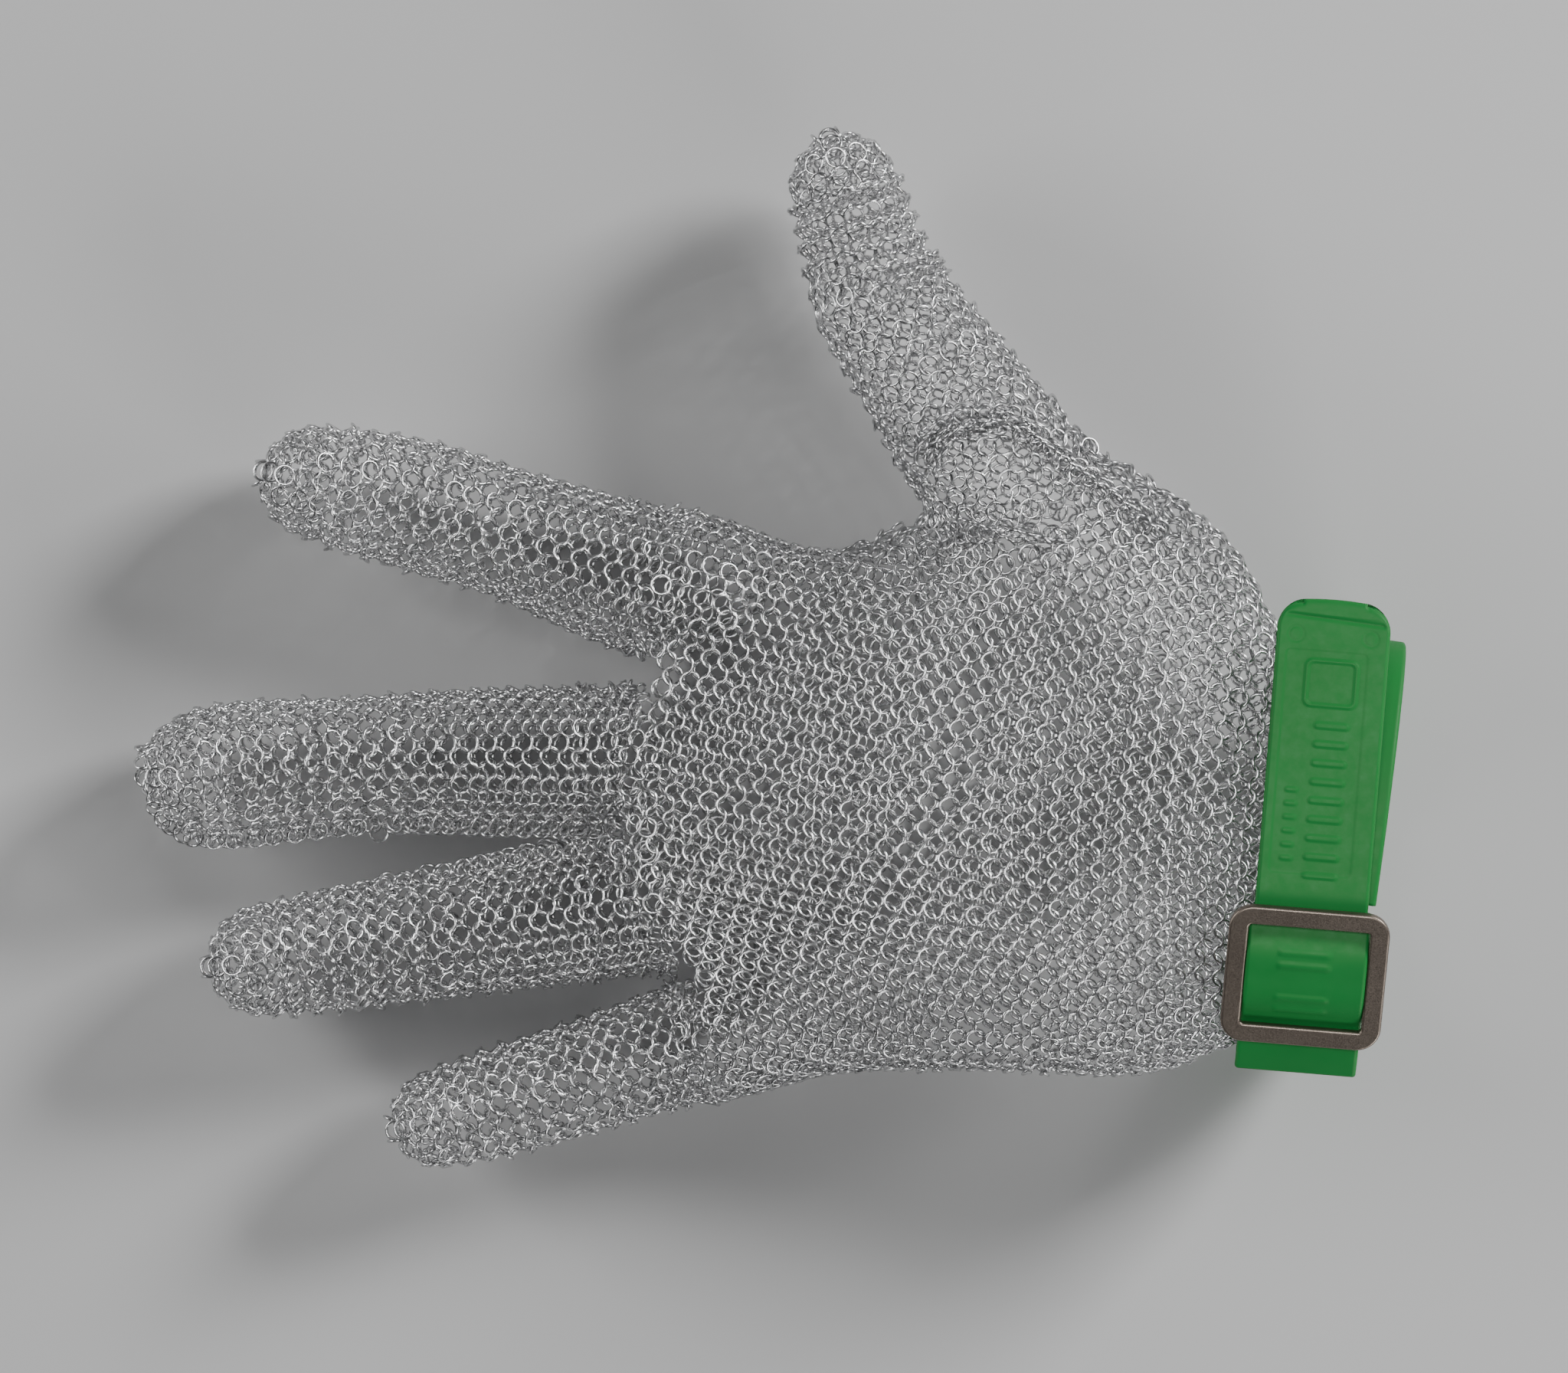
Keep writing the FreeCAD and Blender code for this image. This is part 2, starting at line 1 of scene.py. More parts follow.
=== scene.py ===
"""Looks of a ring-mesh glove: welded rings, a moulded wrist strap and a steel buckle, on a pale floor.

The rings are separate tori laid out as four-in-one mail, with neighbouring rows leaning opposite ways. Only
about half of them link with four others, and nearly all the rest link with fewer. Most linked wires overlap.
Lengths in this script are millimetres, in the CAD frame, and become metres where a mesh is made.
"""
import copy
import json
import math

import bmesh
import bpy
import numpy as np
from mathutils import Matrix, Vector

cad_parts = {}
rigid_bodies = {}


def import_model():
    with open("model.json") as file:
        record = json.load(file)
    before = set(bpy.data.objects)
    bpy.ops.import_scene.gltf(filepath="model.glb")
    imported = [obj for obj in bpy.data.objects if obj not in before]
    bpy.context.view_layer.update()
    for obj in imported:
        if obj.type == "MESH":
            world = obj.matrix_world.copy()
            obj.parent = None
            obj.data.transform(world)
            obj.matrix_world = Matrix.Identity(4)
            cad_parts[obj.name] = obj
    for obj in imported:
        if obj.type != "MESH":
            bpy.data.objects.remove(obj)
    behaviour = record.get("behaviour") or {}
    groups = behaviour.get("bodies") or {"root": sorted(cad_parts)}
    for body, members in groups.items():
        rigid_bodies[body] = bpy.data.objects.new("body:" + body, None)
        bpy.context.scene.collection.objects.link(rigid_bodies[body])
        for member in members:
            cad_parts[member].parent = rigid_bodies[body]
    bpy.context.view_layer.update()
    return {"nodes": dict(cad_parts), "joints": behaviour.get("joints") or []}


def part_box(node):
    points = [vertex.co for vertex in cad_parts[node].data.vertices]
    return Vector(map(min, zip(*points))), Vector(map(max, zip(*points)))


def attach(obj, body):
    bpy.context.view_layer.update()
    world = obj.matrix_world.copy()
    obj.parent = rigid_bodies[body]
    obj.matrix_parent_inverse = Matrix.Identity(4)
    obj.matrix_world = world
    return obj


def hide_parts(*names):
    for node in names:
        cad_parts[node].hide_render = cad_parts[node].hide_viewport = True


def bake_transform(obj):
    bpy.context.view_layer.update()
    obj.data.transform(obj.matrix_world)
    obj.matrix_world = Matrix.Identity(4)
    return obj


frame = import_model()

MM = 0.001
SEED = 11

# one welded ring, and how far its arcs stand out from the middle of the woven sheet
RING_RADIUS = 1.72
WIRE_RADIUS = 0.275
RING_STEPS = 16
WIRE_STEPS = 6
RELIEF = 1.15
RINGS_PER_PIECE = 1000
UV_MARGIN = 0.08

# how the rings lie: limits on the cosine of their lean, and an angle by which even rows lean less and odd
# rows more; then how far turns and places stray in a tidy weave and, added to that, in a full tangle, the
# range of the rings' tones, and how much painted shade darkens a full tangle, at the crotches and creases
LEAN_COSINES = (0.42, 0.97)
FLATTER = 0.05
TURN_STRAY = (0.03, 0.45)
PLACE_STRAY = (0.04, 0.4)
TONES = (0.36, 0.62)
CREASE_PAINTED_SHADE = 0.22

# where the weave is tangled: centre and size of each knot
KNOTS = [((-21, -5, 18), 6), ((-24, -33, 18), 6), ((-11, -58, 16), 7), ((19, 20, 18), 7)]
# folds across the thumb's root, where the weave bunches up: their bends in plan, and their rows of rings
FOLDS = {
    "thumb_fold_rings": ([(22.0, 32.0), (28.0, 38.0), (36.0, 41.0), (45.0, 42.0), (53.0, 38.0), (62.0, 31.5),
                          (70.0, 24.0)], 4),
    "palm_fold_rings": ([(23.0, 20.0), (38.0, 20.8), (52.0, 19.5)], 2),
}
# their row spacing and ring spacing, how far they stand off the sheet, how tangled the weave under them is,
# and the level above which the sheet counts as the palm side
FOLD_GAP = 1.25
FOLD_PITCH = 3.0
FOLD_HEAP = 0.5
FOLD_LOOSE = 0.5
CREASE_LEVEL = 15.0

# weave: how far apart the rings of a fingertip's rows are, and the rows of an open and a close weave
PITCH_TIP = 4.15
ROW_OPEN = 1.9
ROW_CLOSE = 1.42
ROW_CLOSE_THUMB = 1.72

# digits: plan widths of the outline at distances back from the tip, and the sideways bow of its middle
DIGITS = {
    "index": {"widths": [(10, 21.2), (17, 23.2), (32, 25.0), (46, 24.6), (60, 26.6), (74, 28.0), (84, 28.0)],
              "bow": 1.8, "side": (0.272, 0.962)},
    "middle": {"widths": [(10, 24.0), (18, 25.3), (35, 24.0), (51, 24.8), (68, 26.0), (76, 26.2), (92, 26.2)],
               "bow": 1.4, "side": (-0.045, 0.999)},
    "ring": {"widths": [(10, 20.8), (18, 22.0), (33, 22.9), (49, 24.0), (64, 25.6), (76, 26.0), (86, 26.0)],
             "bow": -0.7, "side": (-0.144, 0.990)},
    "little": {"widths": [(9, 18.6), (15, 20.0), (27, 21.3), (40, 21.8), (52, 22.6), (60, 23.0), (70, 23.0)],
               "bow": -0.6, "side": (-0.284, 0.959)},
    "thumb": {"widths": [(8, 20.0), (14, 21.4), (20, 22.4), (31, 25.6), (43, 27.4), (56, 29.6), (80, 33.0)],
              "bow": 0.0, "side": (0.816, 0.577)},
}
FINGERS = ("index", "middle", "ring", "little")
PARTS = ("palm",) + tuple(DIGITS)
RINGS_ROUND = {"index": 16, "middle": 16, "ring": 16, "little": 14, "thumb": 18}

# palm outline across the hand: station along X, lowest and highest Y, lowest and highest Z, power
PALM = [
    (-30.0, -86.0, 27.5, 0.4, 25.6, 2.5),
    (-21.5, -83.6, 26.6, 0.0, 26.0, 2.5),
    (-6.0, -79.3, 22.3, 0.0, 28.5, 2.5),
    (12.0, -75.8, 19.2, 0.0, 31.0, 2.5),
    (30.0, -75.2, 26.0, 0.0, 34.5, 2.5),
    (47.0, -75.6, 35.0, 0.0, 38.0, 2.5),
    (61.0, -76.2, 33.5, 0.0, 40.0, 2.4),
    (74.0, -74.6, 20.9, 0.8, 40.5, 2.2),
    (86.8, -70.6, 2.3, 2.5, 40.9, 2.0),
    (104.0, -72.9, 0.0, 2.5, 40.9, 2.0),
]
PALM_MIDDLE_Y = -35.0
PALM_ROWS_LENGTH = 118.0
WRIST_X = 97.3
WRIST_LEAN = 7.8
LEAN_FROM = 58.0
LEAN_TO = 87.0
# where the palm gives way to the fingers, as X at some Y, from the little finger's side to the index's
FINGER_ROOTS = [(-90.0, -7.0), (-72.0, -9.0), (-58.0, -12.5), (-46.0, -19.0), (-33.0, -22.5),
                (-19.0, -21.5), (-5.0, -19.5), (12.0, -16.5), (30.0, -13.0)]
PALM_NOSE = 6.0
CUFF_REACH = 0.5
# how softly the parts run into each other, and how far their rings reach past where they meet
FAIRING = 1.6
ROOT_OVERLAP = 0.4
PALM_OVERLAP = 2.0
FINGER_OVERLAP = 0.5
THUMB_SETBACK = 0.2

# strap and buckle, in the strap's own axes: levels are along the way out of the buckle's plane, and RUN
# is the length woven through the buckle, with its tail on the band, and TONGUE the free end
STRAP_WIDTH = 20.0
STRAP_THICK = 2.0
STRAP_EDGE = 0.7
STRAP_GAP = 0.5
BUCKLE_SEAT = -21.4
BUCKLE_SHIFT = -0.65
BUCKLE_LIFT = 3.0
BUCKLE_LEAN = 4.7
BUCKLE_LENGTH = 25.6
BUCKLE_BAR = 3.4
RUN_WIDTH = 21.5
RUN_LOW = -1.95
RUN_HIGH = 0.4
RUN_SHOULDER = 5.0
RUN_SHOULDER_DROP = 0.35
RUN_TAIL = 6.0
RUN_TAIL_DROPS = (0.35, 1.25)
RUN_END = 0.9
TONGUE_START = 0.6
TONGUE_WIDTH = 20.0
TONGUE_REACH = 44.6
TONGUE_LEVEL = 24.1
TONGUE_RISE = 6.1
TONGUE_FLAT = 22.1
TONGUE_BEND = 12.0
TONGUE_DIP = 0.1
TONGUE_HALF_DROOP = 0.8
TONGUE_DROOP = 2.0
TIP_CORNER = 4.5
TIP_CROWN = 0.9
TIP_LINE = 3.6
# spacing of the points of each strap mesh
BAND_GRID = 0.5
RUN_GRID = 0.3
TONGUE_GRID = 0.24


# ---- small helpers ----------------------------------------------------------------------------------

def smooth(x, low, high):
    t = np.clip((np.asarray(x, float) - low) / (high - low), 0, 1)
    return t * t * (3 - 2 * t)


def through(table, x, column=1):
    """A smooth curve through the table's rows (monotone in its first column), held level past its ends."""
    knots = np.array([row[0] for row in table], float)
    values = np.array([row[column] for row in table], float)
    slopes = np.gradient(values, knots)
    x = np.clip(x, knots[0], knots[-1])
    k = np.clip(np.searchsorted(knots, x) - 1, 0, len(knots) - 2)
    gap = knots[k + 1] - knots[k]
    t = (x - knots[k]) / gap
    a = (1 + 2 * t) * (1 - t) ** 2 * values[k] + t * (1 - t) ** 2 * gap * slopes[k]
    b = t * t * (3 - 2 * t) * values[k + 1] + t * t * (t - 1) * gap * slopes[k + 1]
    return a + b


def normalised(vectors):
    return vectors / np.maximum(np.linalg.norm(vectors, axis=-1, keepdims=True), 1e-9)


def joint(name):
    found = [j for j in frame["joints"] if j["name"] == name][0]
    return np.array(found["pos_m"]) / MM, np.array(found["axis"])


def mesh_object(name, points, faces, material):
    """A smooth-shaded mesh object from millimetre points."""
    mesh = bpy.data.meshes.new(name)
    mesh.from_pydata((np.asarray(points) * MM).tolist(), [], faces)
    mesh.update()
    mesh.polygons.foreach_set("use_smooth", [True] * len(mesh.polygons))
    mesh.materials.append(material)
    piece = bpy.data.objects.new(name, mesh)
    bpy.context.scene.collection.objects.link(piece)
    return piece


# ---- materials --------------------------------------------------------------------------------------

def new_material(name):
    material = bpy.data.materials.new(name)
    material.use_nodes = True
    nodes = material.node_tree.nodes
    return material, nodes, material.node_tree.links, nodes["Principled BSDF"]


def add(nodes, kind, **settings):
    node = nodes.new(kind)
    for key, value in settings.items():
        if hasattr(node, key):
            setattr(node, key, value)
        else:
            node.inputs[key.replace("_", " ")].default_value = value
    return node


def ramp(nodes, stops):
    node = nodes.new("ShaderNodeValToRGB")
    elements = node.color_ramp.elements
    while len(elements) < len(stops):
        elements.new(0.5)
    for element, (place, colour) in zip(elements, stops):
        element.position = place
        element.color = (*colour, 1.0)
    return node


def ring_steel():
    """Drawn stainless wire: each ring its own tone, with painted shade in the crotches and creases, fine
    mottling and drawing marks.
    """
    material, nodes, links, shader = new_material("ring_steel")
    shader.inputs["Metallic"].default_value = 1.0
    shaded_tone = add(nodes, "ShaderNodeAttribute", attribute_name="ring_tone_and_shade")
    noise = add(nodes, "ShaderNodeTexNoise", Scale=900.0, Detail=3.0, Roughness=0.6)
    place = add(nodes, "ShaderNodeTexCoord")
    links.new(place.outputs["Object"], noise.inputs["Vector"])
    mixed = add(nodes, "ShaderNodeMath", operation="MULTIPLY_ADD")
    mixed.inputs[1].default_value = 0.5
    links.new(noise.outputs["Fac"], mixed.inputs[0])
    links.new(shaded_tone.outputs["Fac"], mixed.inputs[2])
    greys = [(0.15, (0.28, 0.28, 0.283)), (0.55, (0.52, 0.52, 0.525)), (1.0, (0.78, 0.78, 0.785))]
    colours = ramp(nodes, greys)
    links.new(mixed.outputs[0], colours.inputs[0])
    links.new(colours.outputs[0], shader.inputs["Base Color"])
    gloss = ramp(nodes, [(0.2, (0.33, 0.33, 0.33)), (0.9, (0.24, 0.24, 0.24))])
    links.new(mixed.outputs[0], gloss.inputs[0])
    links.new(gloss.outputs[0], shader.inputs["Roughness"])
    bump = add(nodes, "ShaderNodeBump", Strength=0.15, Distance=0.00005)
    links.new(noise.outputs["Fac"], bump.inputs["Height"])
    links.new(bump.outputs[0], shader.inputs["Normal"])
    return material


def strap_polymer():
    """Moulded semi-matt green polymer: fine orange-peel grain, faint flow streaks and light scuffing."""
    material, nodes, links, shader = new_material("strap_polymer")
    place = add(nodes, "ShaderNodeTexCoord")
    flow = add(nodes, "ShaderNodeTexNoise", Scale=28.0, Detail=3.0, Roughness=0.5)
    grain = add(nodes, "ShaderNodeTexNoise", Scale=2600.0, Detail=2.0, Roughness=0.5)
    scuff = add(nodes, "ShaderNodeTexNoise", Scale=420.0, Detail=4.0, Roughness=0.7)
    for node in (flow, grain, scuff):
        links.new(place.outputs["Object"], node.inputs["Vector"])
    colours = ramp(nodes, [(0.3, (0.009, 0.145, 0.026)), (0.7, (0.012, 0.175, 0.034))])
    links.new(flow.outputs["Fac"], colours.inputs[0])
    links.new(colours.outputs[0], shader.inputs["Base Color"])
    gloss = ramp(nodes, [(0.3, (0.46, 0.46, 0.46)), (0.7, (0.60, 0.60, 0.60))])
    links.new(scuff.outputs["Fac"], gloss.inputs[0])
    links.new(gloss.outputs[0], shader.inputs["Roughness"])
    shader.inputs["Specular IOR Level"].default_value = 0.2
    bump = add(nodes, "ShaderNodeBump", Strength=0.12, Distance=0.00005)
    links.new(grain.outputs["Fac"], bump.inputs["Height"])
    links.new(bump.outputs[0], shader.inputs["Normal"])
    return material


def satin_steel(name, dark, light, roughness):
    """Blasted or polished stainless with a fine grain."""
    material, nodes, links, shader = new_material(name)
    shader.inputs["Metallic"].default_value = 1.0
    place = add(nodes, "ShaderNodeTexCoord")
    grain = add(nodes, "ShaderNodeTexNoise", Scale=5200.0, Detail=2.0, Roughness=0.7)
    cloud = add(nodes, "ShaderNodeTexNoise", Scale=120.0, Detail=3.0, Roughness=0.5)
    for node in (grain, cloud):
        links.new(place.outputs["Object"], node.inputs["Vector"])
    both = add(nodes, "ShaderNodeMath", operation="MULTIPLY_ADD")
    both.inputs[1].default_value = 0.45
    links.new(cloud.outputs["Fac"], both.inputs[0])
    half = add(nodes, "ShaderNodeMath", operation="MULTIPLY")
    half.inputs[1].default_value = 0.55
    links.new(grain.outputs["Fac"], half.inputs[0])
    links.new(half.outputs[0], both.inputs[2])
    colours = ramp(nodes, [(0.25, dark), (0.75, light)])
    links.new(both.outputs[0], colours.inputs[0])
    links.new(colours.outputs[0], shader.inputs["Base Color"])
    gloss = ramp(nodes, [(0.3, (roughness * 0.8,) * 3), (0.7, (roughness * 1.2,) * 3)])
    links.new(grain.outputs["Fac"], gloss.inputs[0])
    links.new(gloss.outputs[0], shader.inputs["Roughness"])
    bump = add(nodes, "ShaderNodeBump", Strength=0.25, Distance=0.00004)
    links.new(grain.outputs["Fac"], bump.inputs["Height"])
    links.new(bump.outputs[0], shader.inputs["Normal"])
    return material


# ---- shape of the filled-out glove --------------------------------------------------------------------

def digit_line(name):
    """Centres and radii along one digit, from the middle of its rounded tip back into the palm."""
    spec = DIGITS[name]
    base, _ = joint(name + "_base_flex")
    middle, _ = joint(name + "_middle_flex")
    node = frame["nodes"][name + "_upper_mesh"]
    points = np.array([v.co for v in node.data.vertices]) / MM
    tip = points[np.argmax(np.linalg.norm(points - middle, axis=1))]
    upper = np.linalg.norm(middle - tip)
    lower = np.linalg.norm(base - middle)
    last = spec["widths"][-1][0]
    side = np.array([*spec["side"], 0.0])
    first_radius = through(spec["widths"], 10.0) / 2 - RELIEF
    stations = np.arange(first_radius + RELIEF, last, 0.8)
    bend = [tip, middle, base, base + (base - middle) / lower * (last - upper - lower)]
    reach = np.array([0.0, upper, upper + lower, last])
    centres = np.stack([np.interp(stations, reach, [p[axis] for p in bend]) for axis in range(3)], 1)
    if name == "thumb":
        kernel = np.ones(9) / 9
        padded = np.pad(centres, ((4, 4), (0, 0)), mode="reflect", reflect_type="odd")
        centres = np.stack([np.convolve(padded[:, axis], kernel, "valid") for axis in range(3)], 1)
    bow = spec["bow"] * np.sin(np.pi * np.clip(stations / (upper + lower), 0, 1))
    centres = centres + bow[:, None] * side
    radii = through(spec["widths"], stations) / 2 - RELIEF
    return {"centres": centres, "radii": radii, "stations": stations, "base": base, "middle": middle}


LINES = {name: digit_line(name) for name in DIGITS}


def palm_section(points):
    """Station, middle and half sizes of the palm's outline at each point."""
    lean = math.tan(math.radians(WRIST_LEAN)) * smooth(points[:, 0], LEAN_FROM, LEAN_TO)
    station = points[:, 0] - lean * (points[:, 1] - PALM_MIDDLE_Y)
    low_y, high_y, low_z, high_z, power = (through(PALM, station, column) for column in range(1, 6))
    half_y = (high_y - low_y) / 2 - RELIEF
    half_z = (high_z - low_z) / 2 - RELIEF
    return (low_y + high_y) / 2, (low_z + high_z) / 2, half_y, half_z, power


def palm_level(points):
    """1 on the palm's surface and less inside, with a round nose at the finger roots."""
    middle_y, middle_z, half_y, half_z, power = palm_section(points)
    across = np.abs(points[:, 1] - middle_y) / half_y
    up = np.abs(points[:, 2] - middle_z) / half_z
    level = (across ** power + up ** power) ** (1 / power)
    ahead = np.clip((through(FINGER_ROOTS, points[:, 1]) - points[:, 0]) / PALM_NOSE, 0, 0.98)
    return level / np.sqrt(1 - ahead * ahead)


def palm_distance(points):
    """Distance to the palm's surface, negative inside, and the direction out of it."""
    step = 0.05
    level = palm_level(points)
    slope = np.empty_like(points)
    for axis in range(3):
        shift = np.zeros(3)
        shift[axis] = step
        slope[:, axis] = (palm_level(points + shift) - palm_level(points - shift)) / (2 * step)
    length = np.maximum(np.linalg.norm(slope, axis=1), 1e-4)
    return (level - 1) / length, slope / length[:, None]


def digit_distance(name, points):
    """Distance to the nearest of the balls along a digit, negative inside, and the direction out of it."""
    line = LINES[name]
    away = points[:, None, :] - line["centres"][None]
    span = np.linalg.norm(away, axis=2)
    k = np.argmin(span - line["radii"][None], axis=1)
    rows = np.arange(len(points))
    return span[rows, k] - line["radii"][k], away[rows, k] / np.maximum(span[rows, k], 1e-6)[:, None]


def distances(points):
    """Distance to every part of the glove's shape, in the order of PARTS, and the directions."""
    found = [palm_distance(points)]
    found += [digit_distance(name, points) for name in DIGITS]
    return np.stack([f[0] for f in found]), np.stack([f[1] for f in found])


def settle(points, rounds=4):
    """Moves points on to the faired surface of the whole glove; gives them and the outward directions."""
    for _ in range(rounds):
        span, out = distances(points)
        weight = np.exp(-np.clip(span - span.min(0), 0, 40) / FAIRING)
        total = weight.sum(0)
        level = span.min(0) - FAIRING * np.log(total)
        normal = normalised((weight[:, :, None] * out).sum(0))
        points = points - np.clip(level, -4, 4)[:, None] * normal
    return points, normal, distances(points)[0]


# ---- where the rings go -------------------------------------------------------------------------------

def neighbours(grid_points, wraps):
    """Row direction and the distance between rings in a row, from a list of rows of points."""
    along, pitch = [], []
    for row in grid_points:
        if wraps:
            step = np.roll(row, -1, axis=0) - np.roll(row, 1, axis=0)
        else:
            step = np.gradient(row, axis=0) * 2
        along.append(normalised(step))
        pitch.append(np.linalg.norm(step, axis=1) / 2)
    return along, pitch


def nearest_gap(row, along, other):
    """Distance to the next row, and how far along it the further of each ring's two partners lies."""
    away = other[None] - row[:, None]
    near = np.argsort(np.linalg.norm(away, axis=2), axis=1)[:, :2]
    away = np.take_along_axis(away, near[:, :, None], axis=1)
    shift = np.abs((away * along[:, None]).sum(2))
    gap = np.sqrt(np.clip((away ** 2).sum(2) - shift ** 2, 0.3, 9)).mean(1)
    return gap, shift.max(1)


class Weave:
    """Rings of one woven part: centres, the way out, the row's direction, pitch and row spacing."""

    def __init__(self, rows, wraps):
        flat = np.concatenate(rows)
        counts = [len(row) for row in rows]
        settled, normal, spans = settle(flat)
        cuts = np.cumsum(counts)[:-1]
        grid = np.split(settled, cuts)
        along, pitch = neighbours(grid, wraps)
        gaps, shifts = [], []
        for i, row in enumerate(grid):
            sides = [grid[k] for k in (i - 1, i + 1) if 0 <= k < len(grid)]
            near = np.array([nearest_gap(row, along[i], side) for side in sides if len(side) > 1])
            gaps.append(near[:, 0].mean(0) if len(near) else np.full(len(row), ROW_OPEN))
            shifts.append(near[:, 1].max(0) if len(near) else np.zeros(len(row)))
        self.points = settled
        self.normal = normal
        self.spans = spans
        self.along = np.concatenate(along)
        self.pitch = np.concatenate(pitch)
        self.gap = np.concatenate(gaps)
        self.shift = np.minimum(np.concatenate(shifts), 0.7 * self.pitch)
        self.row = np.repeat(np.arange(len(rows)), counts)

    def part(self, mask):
        """The same weave with only the rings that the mask picks."""
        chosen = copy.copy(self)
        for field in ("points", "normal", "along", "pitch", "gap", "shift", "row"):
            setattr(chosen, field, getattr(self, field)[mask])
        chosen.spans = self.spans[:, mask]
        return chosen


def root_x(y):
    return through(FINGER_ROOTS, y)


def stations_along(length, spacing):
    """Distances from 0 to length whose spacing follows the function of the fraction covered."""
    found = [0.0]
    while found[-1] < length:
        found.append(found[-1] + spacing(found[-1] / length))
    return np.array(found[:-1])


def digit_rows(name):
    """Rows of ring centres round one digit, from the tip to inside the palm."""
    line = LINES[name]
    centres, radii, stations = line["centres"], line["radii"], line["stations"]
    dome = radii[0]
    quarter = dome * math.pi / 2
    end = stations[-1] - stations[0]
    close = ROW_CLOSE_THUMB if name == "thumb" else ROW_CLOSE
    def spacing(f):
        return ROW_OPEN - (ROW_OPEN - close) * float(smooth(f, 0.45, 0.95))
    steps = stations_along(quarter + end, spacing)
    up = np.array([0.0, 0.0, 1.0])
    rows = [centres[:1] + normalised(centres[0] - centres[1])[None] * dome]
    for i, reach in enumerate(steps[1:]):
        if reach < quarter:
            angle = reach / dome
            back = normalised(centres[1] - centres[0])
            middle = centres[0] - back * dome * math.cos(angle)
            radius = dome * math.sin(angle)
            count = min(RINGS_ROUND[name], max(4, round(2 * math.pi * radius / PITCH_TIP)))
        else:
            k = min(int((reach - quarter) / 0.8), len(centres) - 2)
            back = normalised(centres[k + 1] - centres[k])
            middle = centres[k]
            radius = radii[k]
            count = RINGS_ROUND[name]
        across = normalised(np.cross(up, back))
        top = np.cross(back, across)
        turn = (np.arange(count) + 0.5 * (i % 2)) * 2 * math.pi / count
        spread = -0.06 + 0.2 * float(smooth(reach, 30, 75)) if name != "thumb" else 0.0
        turn = turn + spread * np.sin(turn)
        rows.append(middle + radius * (np.cos(turn)[:, None] * top + np.sin(turn)[:, None] * across))
    return rows


def palm_row_x(f, y):
    """X of a palm row at each Y, where f runs from 0 at the finger roots to 1 inside the strap."""
    strap_low, strap_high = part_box("cuff_mesh")
    middle_y = (strap_low.y + strap_high.y) / 2 / MM
    lean = math.tan(math.radians(WRIST_LEAN))
    wrist = WRIST_X + CUFF_REACH + lean * (y - middle_y)
    return root_x(y) * (1 - f) + wrist * f


def palm_loop(f):
    """A closed line round the palm for a row, and the way round it from the middle of the palm side."""
    sweep = np.linspace(0, 2 * math.pi, 721)
    c, s = np.cos(sweep), np.sin(sweep)
    row_x = np.full(721, palm_row_x(f, PALM_MIDDLE_Y))
    y = np.full(721, PALM_MIDDLE_Y)
    for _ in range(2):
        middle_y, middle_z, half_y, half_z, power = palm_section(np.stack([row_x, y, 0 * y], 1))
        y = middle_y + half_y * np.sign(s) * np.abs(s) ** (2 / power)
        z = middle_z + half_z * np.sign(c) * np.abs(c) ** (2 / power)
        row_x = palm_row_x(f, y)
    return np.stack([row_x, y, z], 1), sweep


def palm_pitch(f, loop, sweep):
    """How far apart a row's rings are along the loop: wider on the palm side, where the mesh hangs open."""
    front = smooth(np.cos(sweep[:-1]), -0.5, 0.3)
    side = smooth(loop[:-1, 1], -60, 0)
    wide = 4.95 - 0.8 * float(smooth(f, 0.3, 0.6)) * (0.6 + 0.4 * side)
    wide = wide + 0.35 * float(smooth(f, 0.85, 1.0)) * (1 - side)
    return wide * front + 4.35 * (1 - front)


def palm_spacing(f):
    return 1.52 + 0.38 * float(smooth(f, 0.22, 0.5)) - 0.42 * float(smooth(f, 0.72, 1.0))


def palm_rows():
    """Rows of ring centres across the palm and round the back, from the finger roots to the strap."""
    rows = []
    for i, reach in enumerate(stations_along(PALM_ROWS_LENGTH, palm_spacing)):
        f = reach / PALM_ROWS_LENGTH
        loop, sweep = palm_loop(f)
        step = np.linalg.norm(np.diff(loop, axis=0), axis=1)
        count = np.concatenate([[0], np.cumsum(step / palm_pitch(f, loop, sweep))])
        # neighbouring rows keep in step along a line that drifts a little across the palm
        reference = -12.0 - 0.26 * (palm_row_x(f, PALM_MIDDLE_Y) + 20)
        if reference > loop[0, 1]:
            start = np.interp(reference, loop[:181, 1], count[:181])
        else:
            start = np.interp(reference, loop[540:, 1], count[540:]) - count[-1]
        most = math.ceil(count[-1])
        turns = start + np.arange(-most, most) + 0.5 * (i % 2)
        turns = turns[(turns > -count[-1] / 2 + 0.3) & (turns < count[-1] / 2 + 0.2)]
        place = np.mod(turns, count[-1])
        rows.append(np.stack([np.interp(place, count, loop[:, axis]) for axis in range(3)], 1))
    return rows


def owned(weave, part):
    """Rings that belong to this part of the shape, where the parts run into each other."""
    own = weave.spans[PARTS.index(part)]
    ahead = weave.points[:, 0] < root_x(weave.points[:, 1]) - ROOT_OVERLAP
    if part == "palm":
        return ~ahead & (own < weave.spans[PARTS.index("thumb")] + PALM_OVERLAP)
    if part == "thumb":
        return own < weave.spans[PARTS.index("palm")] - THUMB_SETBACK
    others = [PARTS.index(name) for name in FINGERS if name != part]
    return ahead & (own < weave.spans[others].min(0) + FINGER_OVERLAP)


# ---- ring meshes --------------------------------------------------------------------------------------

